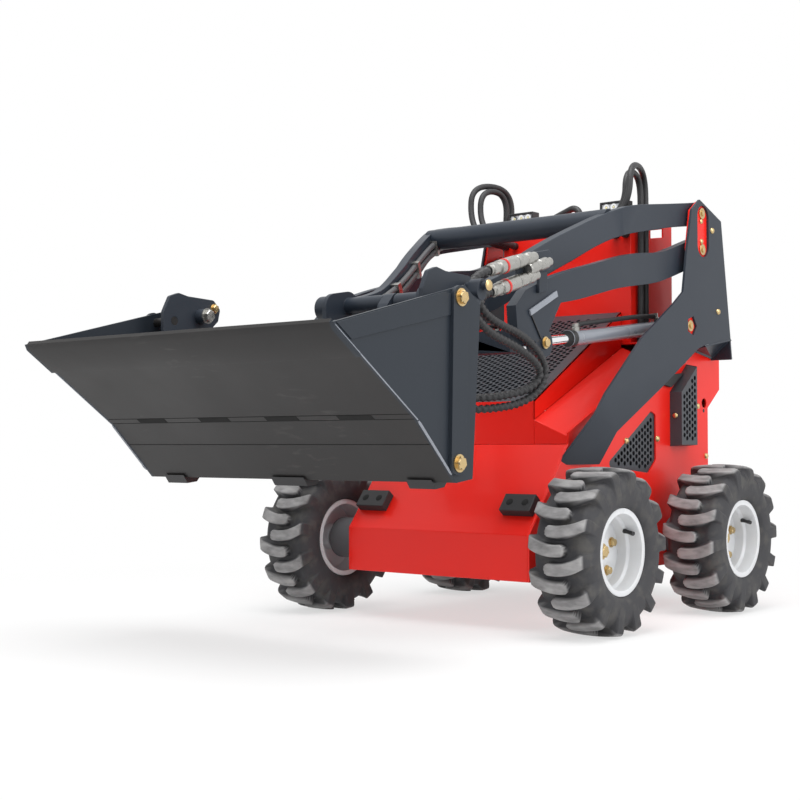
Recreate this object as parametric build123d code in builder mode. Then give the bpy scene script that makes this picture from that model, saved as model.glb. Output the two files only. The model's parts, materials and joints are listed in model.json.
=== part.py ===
"""Stand-on skid steer loader with parallel lift arms and a clam bucket, in millimetres.

+Z is up, the bucket points along -Y and the machine's left side is +X. Side views are drawn with
Y counted from the middle between the axles and Z from the ground.
"""
import os
from math import atan2, degrees, hypot, sqrt

from build123d import *

os.makedirs("parts", exist_ok=True)

# Wheels
tyre_radius = 228.5
tyre_width = 178
tyre_sides = 42
bead_sides = 28
lug_height = 24
lugs_per_row = 14
lug_foot = 34
lug_outer_lead = -14
lug_outer_tail = 32
lug_inner_lead = -30
lug_inner_tail = -2
lug_overlap = 6
lug_tip = 10
lug_chamfer = 16
shoulder_width = 20
shoulder_drop = 24
sidewall_foot = 26
bead_height = 4
rim_flange_radius = 119
rim_seat_radius = 108
rim_width = 150
rim_wall = 5
rim_disc_offset = -8
rim_disc_thickness = 8
rim_well_radius = 95
rim_well_end = 30
rim_well_slope = 6
wheelbase = 721
hub_radius = 62
hub_length = 105
hub_gap = 24
spindle_radius = 24
spindle_reach = 4
sleeve_radius = 40
sleeve_start = -38
sleeve_wall_end = 6
running_clearance = 0.08
seat_clearance = 0.3

# Chassis
half_body = 330
sheet_metal = 6
belly_height = 139
nose_front = -449
nose_height = 268
wall_front = -250
wall_foot = 519
body_rear = 606
rear_step_foot = 640
rear_step_head = 703
rear_overhang = 84
panel_front_rise = 33
panel_top_y = 300
panel_top = 812
panel_rear_top = 838
tie_hole = (580, 655)
tie_hole_radius = 16

# Side grilles and vent boxes
grille_opening = [(-50, 452), (210, 430), (255, 470), (255, 612), (226, 622)]
grille_margin = 12
grille_plate = 4
vent_face = [(351, 684), (351, 517), (455, 517), (455, 770)]
vent_flare = 4
vent_depth = 40
vent_sheet = 4
mesh_pitch = 36
mesh_hole = 11
mesh_margin = 18

# Hood and side decks
hood_sheet = 4
front_wall_height = 126
hood_rise = 295
hood_cheek_height = 55
deck_width = 118
deck_outer_drop = 47
deck_rise = 0.476
hood_mesh_border = 46

# Arm towers
tower_overhang = 74
tower_plate = 8
tower_outline = [
    (416, 1303), (364, 1266), (329, 1129), (303, 997), (240, 954), (44, 837), (-164, 666), (-224, 602),
    (-104, 555), (151, 686), (354, 797), (399, 823), (439, 835), (627, 867), (564, 1250),
]
tower_rear_line = [(638, 800), (564, 1250)]
leg_bend = [(-224, 602), (-104, 555)]
leg_foot = [(-294, 460), (-123, 460)]
leg_standoff = 10
upper_pivot = (442, 1262)
lower_pivot = (444, 1145)
pivot_window = [(438, 1248), (438, 1158)]
pivot_window_radius = 38
pivot_plate_outline = [(416, 1298), (368, 1264), (342, 1140), (352, 1090), (536, 1090), (556, 1248)]
lift_window_radius = 32
lift_plate_radius = 50
pivot_pin_radius = 16
pin_head_radius = 18
pin_head_thickness = 4

# Lift arms
arm_width = 32
arm_flare = 16
arm_gap = 2
arm_boss_radius = 38
flare_from = 270
flare_to = 400
arm_rear = 520
bend_y = -10
neck_y = -325
throat_y = -480
arm_front = -760
neck_outer = 246
front_outer = 212
upper_top = [
    (442, 1300), (263, 1273), (131, 1254), (-6, 1226), (-152, 1162),
    (-313, 1073), (-453, 985), (-590, 946), (-697, 941),
]
upper_bottom = [
    (-697, 869), (-590, 866), (-453, 893), (-313, 978), (-186, 1051),
    (-50, 1126), (130, 1171), (262, 1197), (442, 1224),
]
front_boss_radius = 36
lower_top = [(444, 1188), (353, 1158), (229, 1118), (99, 1101), (-133, 1050), (-321, 1003), (-520, 935)]
lower_front = [(-568, 890), (-560, 820), (-474, 797)]
lower_bottom = [(-347, 914), (-243, 933), (-20, 984), (228, 1027), (353, 1068), (444, 1102)]
lobe_radius = 42
upper_tube = (-34, 1188)
upper_tube_radius = 34
front_pivot = (-695, 788)
front_lug_radius = 30
cross_beam = (-520, 796)
cross_beam_size = 60

# Carriage between the arms and the bucket
carriage_plate = 14
carriage_side_gap = 5
tilt_pivot = (-800, 520)
tilt_pin_radius = 18
tilt_boss_radius = 42
tilt_base = (-640, 915)
tilt_lug = (-880, 657)
carriage_tube_radius = 24
carriage_tube = (-735, 640)
carriage_cheek_radius = 42
eye_side_gap = 4

# Bucket
bucket_half = 536
clam_plate = 10
lip = (-1479, 775)
floor_fold = (-1194, 573)
heel = (-1050, 428)
clam_rear_foot = (-988, 436)
clam_rear_top = (-956, 850)
clam_rear_crown = (-1018, 893)
clam_top_front = (-1104, 871)
edge_depth = 110
edge_plate = 8
edge_bevel = 14
clam_hinge = (-1045, 861)
clam_hinge_pin_radius = 12
hinge_strip = 10
strip_radius = 28
bolt_head_radius = 15
bolt_head_height = 12
cylinder_bolt = (-1054, 474)
cylinder_pin = (-912, 902)
back_gap = 64
back_plate = 12
back_foot = (-972, 462)
back_top = (-1078, 826)
ear_outline = [
    (-1085, 830), (-1085, 885), (-1062, 930), (-1030, 941), (-995, 934), (-898, 930), (-872, 905),
    (-880, 870), (-960, 800), (-1060, 790),
]
ear_corner = 12
rib_inner = 200
rib_inset = 20
lug_plate = 16
attach_plate_y = -936
attach_thickness = 14
attach_inset = 42
attach_foot = 470
attach_top = 800

# Cylinders
lift_base = (359, 894)
lift_eye = (-432, 797)
lift_gap = 8
lift_barrel_radius = 25
lift_rod_radius = 14
lift_eye_radius = 26
lift_eye_width = 40
lift_barrel_end = 220
lift_retract = 80
tilt_barrel_radius = 27
tilt_rod_radius = 15
tilt_eye_radius = 26
tilt_eye_width = 36
tilt_barrel_end = 62
clam_cylinder_standoff = 34
clam_barrel_radius = 18
clam_rod_radius = 10
clam_eye_radius = 18
clam_eye_width = 34
clam_barrel_end = 120
cylinder_pin_radius = 10
gland_step = 3
gland_length = 24
rod_clearance = 0.3
eye_neck = 1.1
eye_depth = 2.4

# Operator station
console_gap = 26
console_front = 250
console_rear = 520
console_foot = 842
console_top = 1235
console_rear_top = 1256
console_window = [(381, 1189), (461, 1201), (461, 1238), (381, 1225)]
rear_window_foot = 1040
rear_window_top = 1238
rear_window_margin = 30
rear_shelf_drop = 55
lamp_shelf = 60
lamp_inset = 66
lamp_y = 274
lamp_stem = 6
lamp_foot = 24
lamp_width = 100
lamp_depth = 40
lamp_height = 60
lamp_rim = 7
lamp_lens_depth = 5
grab_bar_y = 300
grab_bar_low = (-108, 1264)
grab_bar_high = (26, 1312)
grab_bar_radius = 11
grab_bar_bend = 26
platform_rear = 880
platform_half = 230
platform_height = 190
platform_thickness = 40
platform_lip = 12
engine_y = 150
engine_width = 360
engine_length = 430
engine_height = 300
pad_inset = 12
pad_width = 104
pad_y = -392
pad_length = 36
pad_thickness = 28

# Couplers and hoses
coupler_bracket = [(-587, 962), (-413, 1000), (-413, 1034), (-432, 1052), (-587, 1022)]
coupler_tab = [(-470, 930), (-430, 940), (-430, 996), (-470, 987)]
coupler_plate = 8
coupler_standoff = 10
coupler_rear = [(-525, 1022), (-516, 974)]
coupler_front = [(-736, 964), (-727, 910)]
coupler_radius = 13
collar_radius = 17
collar_from = 0.42
collar_to = 0.66
hose_radius = 10
hose_bend = 45
gland_radius = 12
console_hoses = {
    "outer": [(233, 230, 1188), (233, 125, 1188), (306, 140, 1270), (306, 150, 1398), (259, 322, 1398),
              (264, 316, 1225), (259, 322, 1050), (259, 322, 864)],
    "inner": [(196, 230, 1188), (196, 140, 1188), (280, 160, 1262), (280, 166, 1378), (259, 290, 1378),
              (264, 285, 1225), (259, 290, 1050), (259, 290, 864)],
}
coupler_hoses = {
    "lower": [(401.3, -727, 910), (401.3, -790.3, 890.8), (403, -742, 838), (403, -556, 802),
              (398, -446, 716), (382, -520, 630), (330, -680, 606), (255, -740, 618), (178, -740, 634)],
    "upper": [(401.3, -736, 964), (401.3, -837.3, 936.2), (403, -795, 818), (403, -570, 764),
              (398, -478, 712), (384, -530, 660), (334, -676, 636), (260, -722, 650), (178, -722, 664)],
}
coupler_hose_bend = 26

# The bucket lip and the platform's rear edge are level with each other about the origin
axle_mid_y = -(lip[0] + platform_rear) / 2

# Widths that follow from the body, the towers and the gaps between them
inner_half = half_body - sheet_metal
hood_half = half_body - deck_width
tower_outer = half_body + tower_overhang
tower_inner = tower_outer - tower_plate
pivot_plate_inner = tower_inner - tower_plate
flare_outer = pivot_plate_inner - arm_gap
flare_inner = flare_outer - arm_width
arm_outer = flare_outer - arm_flare
arm_inner = arm_outer - arm_width
upper_tube_half = arm_inner + arm_gap
front_inner = front_outer - arm_width
carriage_outer = front_inner - carriage_side_gap
carriage_inner = carriage_outer - carriage_plate
cheek_inside = carriage_inner - carriage_side_gap
lift_x = arm_inner - lift_gap - lift_barrel_radius
rear_deck_half = lift_x - lift_barrel_radius - lift_gap
console_half = rear_deck_half - console_gap
hub_end = half_body + hub_length
track = 2 * (hub_end + hub_gap - sleeve_start)
wheel_x = track / 2
lamp_x = console_half - lamp_inset
clam_inner = bucket_half - clam_plate
back_half = clam_inner - back_gap
attach_half = back_half - attach_inset
rib_places = (rib_inner, attach_half - rib_inset)
clam_cylinder_x = back_half + clam_cylinder_standoff
cylinder_pin_end = clam_inner
coupler_x = arm_outer + coupler_standoff + coupler_plate + coupler_radius + seat_clearance

# Heights and lengths that follow
hood_front_height = wall_foot + front_wall_height
hood_rear_height = hood_front_height + hood_rise
deck_inner_height = hood_front_height - hood_cheek_height
rear_shelf_height = console_foot - rear_shelf_drop
tail_y = body_rear + rear_overhang
upper_front = (
    front_pivot[0] + upper_pivot[0] - lower_pivot[0],
    front_pivot[1] + upper_pivot[1] - lower_pivot[1],
)

nodes = {}


def place(x, y, z):
    """Point of the machine, with length counted from the middle between the axles."""
    return (x, axle_mid_y + y, z)


def side(x):
    """Side view plane at distance x, with length across and height up."""
    return Plane(origin=place(x, 0, 0), x_dir=(0, 1, 0), z_dir=(1, 0, 0))


def section_plane(x, y, z):
    """Plane across the machine, with width across and height up."""
    return Plane(origin=place(x, y, z), x_dir=(1, 0, 0), z_dir=(0, -1, 0))


def outline_of(points):
    """Closed straight-sided outline on the current sketch."""
    with BuildLine() as line:
        Polyline(*points, close=True)
    make_face(line.edges())


def plate(points, x_from, x_to, mode=Mode.ADD, corner=0):
    """Flat plate with a straight-sided outline in the side view."""
    with BuildSketch(side(x_from)) as outline:
        outline_of(points)
        if corner:
            fillet(outline.vertices(), corner)
    extrude(outline.sketch, amount=x_to - x_from, mode=mode)


def bar(centre, x_from, x_to, radius, mode=Mode.ADD):
    """Round bar or hole across the machine."""
    with BuildSketch(side(x_from)) as outline:
        with Locations(centre):
            Circle(radius)
    extrude(outline.sketch, amount=x_to - x_from, mode=mode)


def many_sided(centre, x_from, x_to, radius, sides, mode=Mode.ADD):
    """Straight-sided bar or hole across the machine, such as a bolt head."""
    with BuildSketch(side(x_from)) as outline:
        with Locations(centre):
            RegularPolygon(radius, sides)
    extrude(outline.sketch, amount=x_to - x_from, mode=mode)


def beside(points, distance):
    """Mitred line beside an open line, on its left."""
    normals = []
    for (y0, z0), (y1, z1) in zip(points, points[1:]):
        length = hypot(y1 - y0, z1 - z0)
        normals.append((-(z1 - z0) / length, (y1 - y0) / length))
    first = [normals[0]] + normals
    second = normals + [normals[-1]]
    shifted = []
    for (y, z), (ny, nz), (my, mz) in zip(points, first, second):
        stretch = distance / (1 + ny * my + nz * mz)
        shifted.append((y + (ny + my) * stretch, z + (nz + mz) * stretch))
    return shifted


def sheet(points, thickness):
    """Closed outline of a folded sheet whose face is the given open line."""
    return points + beside(points, thickness)[::-1]


def toward(start, end, distance):
    """Point at a distance from start on the line to end."""
    share = distance / hypot(end[0] - start[0], end[1] - start[1])
    return (start[0] + (end[0] - start[0]) * share, start[1] + (end[1] - start[1]) * share)


def inset(points, distance):
    """Closed outline, counterclockwise, drawn in by a distance."""
    return beside(points[-1:] + points + points[:1], distance)[1:-1]


def places_within(points, pitch, margin):
    """Staggered places inside a convex counterclockwise outline, clear of its edges."""
    edges = list(zip(points, points[1:] + points[:1]))
    across = [point[0] for point in points]
    up = [point[1] for point in points]
    places = []
    rows = int((max(up) - min(up)) / pitch * 2)
    columns = int((max(across) - min(across)) / pitch)
    for row in range(rows + 1):
        for column in range(columns + 1):
            y = min(across) + (column + row % 2 / 2) * pitch
            z = min(up) + row * pitch / 2
            depths = []
            for (y0, z0), (y1, z1) in edges:
                length = hypot(y1 - y0, z1 - z0)
                depths.append(((y1 - y0) * (z - z0) - (z1 - z0) * (y - y0)) / length)
            if min(depths) >= margin:
                places.append((y, z))
    return places


def perforate(points, x_from, x_to):
    """Diamond mesh through a plate that is seen from the side."""
    with BuildSketch(side(x_from)) as mesh:
        with Locations(*places_within(points, mesh_pitch, mesh_margin)):
            RegularPolygon(mesh_hole, 4)
    extrude(mesh.sketch, amount=x_to - x_from, mode=Mode.SUBTRACT)


def tapered(points, far_points, x_from, x_to, mode=Mode.ADD):
    """Block that changes from one side outline to another across the machine."""
    sections = []
    for x, outline in ((x_from, points), (x_to, far_points)):
        with BuildSketch(side(x)) as section:
            outline_of(outline)
        sections.append(section.sketch.face())
    loft(sections, ruled=True, mode=mode)


def capsule(first, second, radius, x_from, x_to, mode=Mode.ADD):
    """Plate or hole with two round ends."""
    length = hypot(second[0] - first[0], second[1] - first[1])
    middle = ((first[0] + second[0]) / 2, (first[1] + second[1]) / 2)
    turn = degrees(atan2(second[1] - first[1], second[0] - first[0]))
    with BuildSketch(side(x_from)) as outline:
        with Locations(Location(middle, turn)):
            SlotCenterToCenter(length, 2 * radius)
    extrude(outline.sketch, amount=x_to - x_from, mode=mode)


def bent_to(line, thickness, z_from, z_to):
    """Keep only what lies in a strip bent in the plan view, whose outer face is the line."""
    with BuildSketch(Plane(origin=place(0, 0, z_from))) as strip:
        outline_of(sheet(line, -thickness))
    extrude(strip.sketch, amount=z_to - z_from, mode=Mode.INTERSECT)


def along(start, end, x):
    """Plane at start that looks along the line to end, for round pieces of a cylinder."""
    direction = (0, end[0] - start[0], end[1] - start[1])
    return Plane(origin=place(x, *start), x_dir=(1, 0, 0), z_dir=direction)


def rod_between(plane, near, far, radius, mode=Mode.ADD):
    """Round bar along a plane's normal, from near to far."""
    with BuildSketch(plane.offset(near)) as outline:
        Circle(radius)
    extrude(outline.sketch, amount=far - near, mode=mode)


def tube_along(points, radius, bend):
    """Round bar or hose along straight runs with round bends."""
    with BuildLine() as route:
        FilletPolyline(*[place(*point) for point in points], radius=bend)
    with BuildSketch(Plane(origin=route.line @ 0, z_dir=route.line % 0)) as section:
        Circle(radius)
    sweep(section.sketch, path=route.line)


def cylinder_pair(name, base, eye, x, barrel_radius, rod_radius, eye_radius, eye_width, barrel_end,
                  retract):
    """Hydraulic cylinder: a barrel with its base eye, and a rod with its eye."""
    length = hypot(eye[0] - base[0], eye[1] - base[1])
    plane = along(base, eye, x)
    mouth = length - barrel_end
    neck = toward(base, eye, eye_neck * eye_radius)
    with BuildPart() as barrel:
        capsule(base, neck, eye_radius, x - eye_width / 2, x + eye_width / 2)
        rod_between(plane, eye_neck * eye_radius, mouth - gland_length, barrel_radius - gland_step)
        rod_between(plane, mouth - gland_length, mouth, barrel_radius)
        pin_bore = cylinder_pin_radius + running_clearance
        bar(base, x - eye_width / 2, x + eye_width / 2, pin_bore, Mode.SUBTRACT)
        rod_between(plane, eye_depth * eye_radius, mouth, rod_radius + rod_clearance, Mode.SUBTRACT)
    with BuildPart() as rod:
        bar(eye, x - eye_width / 2, x + eye_width / 2, eye_radius)
        rod_start = eye_depth * eye_radius + retract + rod_clearance
        rod_between(plane, rod_start, length - eye_radius / 2, rod_radius)
    nodes[name + "_barrel"] = barrel
    nodes[name + "_rod"] = rod


def mirrored(builder):
    """The same piece on the machine's other side."""
    with BuildPart() as copy:
        mirror(builder.part, about=Plane.YZ)
    return copy


# Tyre: a many-sided carcass with two staggered rows of lugs
axle_height = tyre_radius
axles = {"front": -wheelbase / 2, "rear": wheelbase / 2}
half_tread = tyre_width / 2
tread_radius = tyre_radius - lug_height
tread_half = half_tread - shoulder_width
bead_half = rim_width / 2 - rim_wall - seat_clearance
bead_radius = rim_seat_radius + seat_clearance
bead_top = rim_flange_radius + bead_height
bulge_foot = rim_flange_radius + sidewall_foot


def ring_stations(stations, sides, mode=Mode.ADD):
    """Many-sided round body about the front left wheel's axle, through (offset, radius) stations."""
    sections = []
    for offset, radius in stations:
        with BuildSketch(side(wheel_x + offset)) as section:
            with Locations((axles["front"], axle_height)):
                RegularPolygon(radius, sides, major_radius=False)
        sections.append(section.sketch.face())
    loft(sections, ruled=True, mode=mode)


lug_outline = [
    (half_tread, lug_outer_lead),
    (half_tread, lug_outer_tail),
    (-lug_overlap, lug_inner_tail),
    (-lug_overlap - lug_tip, (lug_inner_lead + lug_inner_tail) / 2),
    (-lug_overlap, lug_inner_lead),
]
lug_top = sqrt(tyre_radius ** 2 - lug_inner_lead ** 2)
with BuildPart() as lug_row:
    with BuildSketch(Plane(origin=place(wheel_x, axles["front"], axle_height + lug_top))) as lug_section:
        outline_of(lug_outline)
    extrude(lug_section.sketch, amount=-(lug_height + lug_foot))
    chamfer(lug_row.edges().group_by(Axis.Z)[-1].sort_by(Axis.X)[-1], lug_chamfer)
front_axle = Axis(place(wheel_x, axles["front"], axle_height), (1, 0, 0))
lug_step = 360 / lugs_per_row
lug_turn = degrees(atan2(lug_inner_lead, lug_top))
wheel_middle = Plane(origin=place(wheel_x, 0, 0), x_dir=(0, 1, 0), z_dir=(1, 0, 0))
with BuildPart() as lugged_tyre:
    ring_stations(
        [(-half_tread, tread_radius - shoulder_drop), (-tread_half, tread_radius),
         (tread_half, tread_radius), (half_tread, tread_radius - shoulder_drop)], tyre_sides)
    for count in range(lugs_per_row):
        add(lug_row.part.rotate(front_axle, lug_turn + count * lug_step))
        add(lug_row.part.mirror(wheel_middle).rotate(front_axle, lug_turn + (count + 0.5) * lug_step))
    ring_stations([(-bead_half, bead_radius), (bead_half, bead_radius)], bead_sides, Mode.SUBTRACT)
    for hand in (-1, 1):
        recess = [(hand * bead_half, bead_top), (hand * half_tread, bulge_foot)]
        ring_stations(recess, bead_sides, Mode.SUBTRACT)

# Rim with its disc and the sleeve that turns on the spindle
rim_inside = rim_seat_radius - rim_wall
rim_outline = [
    (-rim_width / 2, rim_flange_radius),
    (-rim_width / 2, rim_inside),
    (rim_disc_offset, rim_inside),
    (rim_disc_offset, sleeve_radius),
    (sleeve_start, sleeve_radius),
    (sleeve_start, spindle_radius + running_clearance),
    (spindle_reach, spindle_radius + running_clearance),
    (spindle_reach, 0),
    (spindle_reach + sleeve_wall_end, 0),
    (spindle_reach + sleeve_wall_end, sleeve_radius),
    (rim_disc_offset + rim_disc_thickness, sleeve_radius),
    (rim_disc_offset + rim_disc_thickness, rim_well_radius),
    (rim_well_end, rim_well_radius),
    (rim_well_end + rim_well_slope, rim_inside),
    (rim_width / 2, rim_inside),
    (rim_width / 2, rim_flange_radius),
    (rim_width / 2 - rim_wall, rim_flange_radius),
    (rim_width / 2 - rim_wall, rim_seat_radius),
    (-rim_width / 2 + rim_wall, rim_seat_radius),
    (-rim_width / 2 + rim_wall, rim_flange_radius),
]
with BuildPart() as turned_rim:
    with BuildSketch(section_plane(wheel_x, axles["front"], axle_height)):
        outline_of(rim_outline)
    revolve(axis=front_axle)

# The four wheels
for end, axle_y in axles.items():
    for piece, wheel_piece in (("tyre", lugged_tyre), ("rim", turned_rim)):
        with BuildPart() as placed:
            add(wheel_piece.part.moved(Location((0, axle_y - axles["front"], 0))))
        nodes[f"{piece}_{end}_left"] = placed
        nodes[f"{piece}_{end}_right"] = mirrored(placed)

# Hub motors with the spindles that carry the wheels
with BuildPart() as hubs:
    for axle_y in axles.values():
        bar((axle_y, axle_height), half_body, hub_end, hub_radius)
        spindle_end = wheel_x + spindle_reach - seat_clearance
        bar((axle_y, axle_height), hub_end, spindle_end, spindle_radius)
    mirror(about=Plane.YZ)
nodes["hubs"] = hubs

# Folded tub: nose, belly and rear plate
tub_line = [
    (wall_front, wall_foot),
    (nose_front, nose_height),
    (nose_front, belly_height),
    (body_rear, belly_height),
    (body_rear, rear_step_foot),
]
with BuildPart() as chassis_tub:
    plate(sheet(tub_line, sheet_metal), -inner_half, inner_half)
nodes["chassis_tub"] = chassis_tub

# Side panels with their grille openings
panel_outline = [
    (nose_front, belly_height),
    (body_rear, belly_height),
    (body_rear, rear_step_foot),
    (tail_y, rear_step_head),
    (tail_y, panel_rear_top),
    (panel_top_y, panel_top),
    (wall_front, wall_foot + panel_front_rise),
    (wall_front, wall_foot),
    (nose_front, nose_height),
]
with BuildPart() as side_panel_left:
    plate(panel_outline, inner_half, half_body)
    plate(grille_opening, inner_half, half_body, Mode.SUBTRACT, corner=grille_margin)
    bar(tie_hole, inner_half, half_body, tie_hole_radius, Mode.SUBTRACT)
nodes["side_panel_left"] = side_panel_left
nodes["side_panel_right"] = mirrored(side_panel_left)

# Perforated grilles behind the openings
with BuildPart() as side_grilles:
    plate(inset(grille_opening, -grille_margin), inner_half - grille_plate, inner_half)
    perforate(grille_opening, inner_half - grille_plate, inner_half)
    mirror(about=Plane.YZ)
nodes["side_grilles"] = side_grilles

# Boxed vents, slightly tapered and open towards the panel
vent_outer = half_body + vent_depth
with BuildPart() as side_vents:
    vent_foot = inset(vent_face, -vent_flare)
    tapered(vent_foot, vent_face, half_body, vent_outer)
    vent_hollow = inset(vent_foot, vent_sheet)
    vent_ceiling = inset(vent_face, vent_sheet)
    tapered(vent_hollow, vent_ceiling, half_body, vent_outer - vent_sheet, Mode.SUBTRACT)
    perforate(vent_face, vent_outer - vent_sheet, vent_outer)
    mirror(about=Plane.YZ)
nodes["side_vents"] = side_vents

# Hood with its front wall, cheeks and mesh
hood_end = console_front - hood_sheet
hood_line = [
    (wall_front, wall_foot),
    (wall_front, hood_front_height),
    (hood_end, hood_rear_height),
]
deck_at_hood_end = deck_inner_height + deck_rise * (hood_end - wall_front)
hood_cheek = [
    (wall_front, hood_front_height),
    (hood_end, hood_rear_height),
    (hood_end, deck_at_hood_end),
    (wall_front, deck_inner_height),
]
hood_length = hypot(hood_end - wall_front, hood_rise)
hood_slope = Plane(
    origin=place(0, wall_front, hood_front_height),
    x_dir=(1, 0, 0),
    z_dir=(0, -hood_rise, hood_end - wall_front),
)
mesh_half = hood_half - hood_mesh_border
mesh_field = [
    (-mesh_half, hood_mesh_border),
    (mesh_half, hood_mesh_border),
    (mesh_half, hood_length - hood_mesh_border),
    (-mesh_half, hood_length - hood_mesh_border),
]
with BuildPart() as hood:
    plate(sheet(hood_line, -hood_sheet), -hood_half, hood_half)
    plate(hood_cheek, hood_half - hood_sheet, hood_half)
    plate(hood_cheek, -hood_half, -hood_half + hood_sheet)
    with BuildSketch(hood_slope) as hood_mesh:
        with Locations(*places_within(mesh_field, mesh_pitch, 0)):
            RegularPolygon(mesh_hole, 4)
    extrude(hood_mesh.sketch, amount=-2 * hood_sheet, mode=Mode.SUBTRACT)
nodes["hood"] = hood

# Side decks: troughs that the arms come down into, with a wall below their front edge
deck_line = [
    (hood_half + seat_clearance, deck_inner_height),
    (inner_half - seat_clearance, deck_inner_height - deck_outer_drop),
    (inner_half - seat_clearance, deck_inner_height - deck_outer_drop - sheet_metal),
    (hood_half + seat_clearance, deck_inner_height - sheet_metal),
]
shelf_rear = tail_y - sheet_metal
with BuildPart() as deck_left:
    with BuildSketch(section_plane(0, wall_front, 0)) as deck_section:
        outline_of(deck_line)
    deck_run = (console_front - wall_front) * hypot(1, deck_rise)
    extrude(deck_section.sketch, amount=deck_run, dir=(0, 1, deck_rise))
    shelf_outline = [
        (console_front, rear_shelf_height - sheet_metal),
        (shelf_rear, rear_shelf_height - sheet_metal),
        (shelf_rear, rear_shelf_height),
        (console_front, rear_shelf_height),
    ]
    plate(shelf_outline, rear_deck_half - sheet_metal, inner_half - seat_clearance)
    deck_wall = [deck_line[0], deck_line[1], (deck_line[1][0], wall_foot), (deck_line[0][0], wall_foot)]
    with BuildSketch(section_plane(0, wall_front, 0)) as wall_section:
        outline_of(deck_wall)
    extrude(wall_section.sketch, amount=-sheet_metal)
nodes["deck_left"] = deck_left
nodes["deck_right"] = mirrored(deck_left)

# Arm tower's leg, bent in to the side panel along a slanted line
leg_middle = ((leg_foot[0][0] + leg_foot[1][0]) / 2, leg_foot[0][1])
bend_start = Vector(*place(tower_outer, *leg_bend[0]))
bend_run = Vector(*place(tower_outer, *leg_bend[1])) - bend_start
leg_run = Vector(*place(half_body + leg_standoff, *leg_middle)) - bend_start
leg_plane = Plane(origin=bend_start, x_dir=bend_run, z_dir=bend_run.cross(leg_run))
with BuildPart() as tower_leg:
    plate(leg_bend + leg_foot[::-1], half_body, tower_outer)
    with BuildSketch(leg_plane) as leg_slab:
        Rectangle(tower_outer, tower_outer)
    extrude(leg_slab.sketch, amount=tower_plate, mode=Mode.INTERSECT)

# Arm towers: a plate with windows at the pins, a leg and a rear flange down to the side panel
with BuildPart() as tower_left:
    plate(tower_outline, tower_inner, tower_outer)
    plate(sheet(tower_rear_line, tower_plate), half_body, tower_outer)
    capsule(*pivot_window, pivot_window_radius, tower_inner, tower_outer, Mode.SUBTRACT)
    many_sided(lift_base, tower_inner, tower_outer, lift_window_radius, 5, Mode.SUBTRACT)
    add(tower_leg.part)
nodes["tower_left"] = tower_left
nodes["tower_right"] = mirrored(tower_left)

# Plates behind the windows, which hold the pins
with BuildPart() as pivot_plates:
    plate(pivot_plate_outline, pivot_plate_inner, tower_inner)
    for hole in (upper_pivot, lower_pivot):
        bar(hole, pivot_plate_inner, tower_inner, pivot_pin_radius + seat_clearance, Mode.SUBTRACT)
    bar(lift_base, pivot_plate_inner, tower_inner, lift_plate_radius)
    bar(lift_base, pivot_plate_inner, tower_inner, cylinder_pin_radius + seat_clearance, Mode.SUBTRACT)
    mirror(about=Plane.YZ)
nodes["pivot_plates"] = pivot_plates

# Pins that carry the arms and the lift cylinders
lift_pin_inner = lift_x - lift_eye_width / 2 - pin_head_thickness
with BuildPart() as tower_pins:
    for centre in (upper_pivot, lower_pivot):
        bar(centre, flare_inner - pin_head_thickness, tower_inner, pivot_pin_radius)
        bar(centre, tower_inner, tower_inner + pin_head_thickness, pin_head_radius)
    bar(lift_base, lift_pin_inner, tower_inner, cylinder_pin_radius)
    bar(lift_base, tower_inner, tower_inner + pin_head_thickness, pin_head_radius)
    mirror(about=Plane.YZ)
nodes["tower_pins"] = tower_pins

# Upper arms: curved in the side view and bent in the plan view, with their cross tube
pin_hole = pivot_pin_radius + running_clearance
arm_line = [
    (flare_outer, arm_rear),
    (flare_outer, flare_to),
    (arm_outer, flare_from),
    (arm_outer, bend_y),
    (neck_outer, neck_y),
    (front_outer, throat_y),
    (front_outer, arm_front),
]
with BuildPart() as upper_arm_left:
    with BuildSketch(side(0)) as upper_outline:
        with BuildLine():
            Spline(*upper_top)
            Line(upper_top[-1], upper_bottom[0])
            Spline(*upper_bottom)
            Line(upper_bottom[-1], upper_top[0])
        make_face()
        with Locations(upper_pivot):
            Circle(arm_boss_radius)
        with Locations(upper_front):
            Circle(front_boss_radius)
    extrude(upper_outline.sketch, amount=tower_outer)
    bent_to(arm_line, arm_width, 0, 2 * upper_pivot[1])
    bar(upper_pivot, 0, tower_outer, pin_hole, Mode.SUBTRACT)
    bar(upper_front, 0, tower_outer, pin_hole, Mode.SUBTRACT)
nodes["upper_arm_left"] = upper_arm_left
nodes["upper_arm_right"] = mirrored(upper_arm_left)
with BuildPart() as upper_cross_tube:
    bar(upper_tube, -upper_tube_half, upper_tube_half, upper_tube_radius)
    add(upper_arm_left.part, mode=Mode.SUBTRACT)
    add(nodes["upper_arm_right"].part, mode=Mode.SUBTRACT)
nodes["upper_cross_tube"] = upper_cross_tube

# Lower arms with the lobes that the lift rods push on
lower_line = [
    (flare_outer, arm_rear),
    (flare_outer, flare_to),
    (arm_outer, flare_from),
    (arm_outer, arm_front),
]
with BuildPart() as lower_arm_left:
    with BuildSketch(side(0)) as lower_outline:
        with BuildLine():
            Spline(*lower_top)
            Polyline(lower_top[-1], *lower_front, lift_eye, lower_bottom[0])
            Spline(*lower_bottom)
            Line(lower_bottom[-1], lower_top[0])
        make_face()
        with Locations(lower_pivot):
            Circle(arm_boss_radius)
        with Locations(lift_eye):
            Circle(lobe_radius)
    extrude(lower_outline.sketch, amount=tower_outer)
    bent_to(lower_line, arm_width, 0, 2 * lower_pivot[1])
    bar(lift_eye, arm_outer, arm_outer + pin_head_thickness, pin_head_radius)
    bar(lower_pivot, 0, tower_outer, pin_hole, Mode.SUBTRACT)
nodes["lower_arm_left"] = lower_arm_left
nodes["lower_arm_right"] = mirrored(lower_arm_left)

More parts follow.
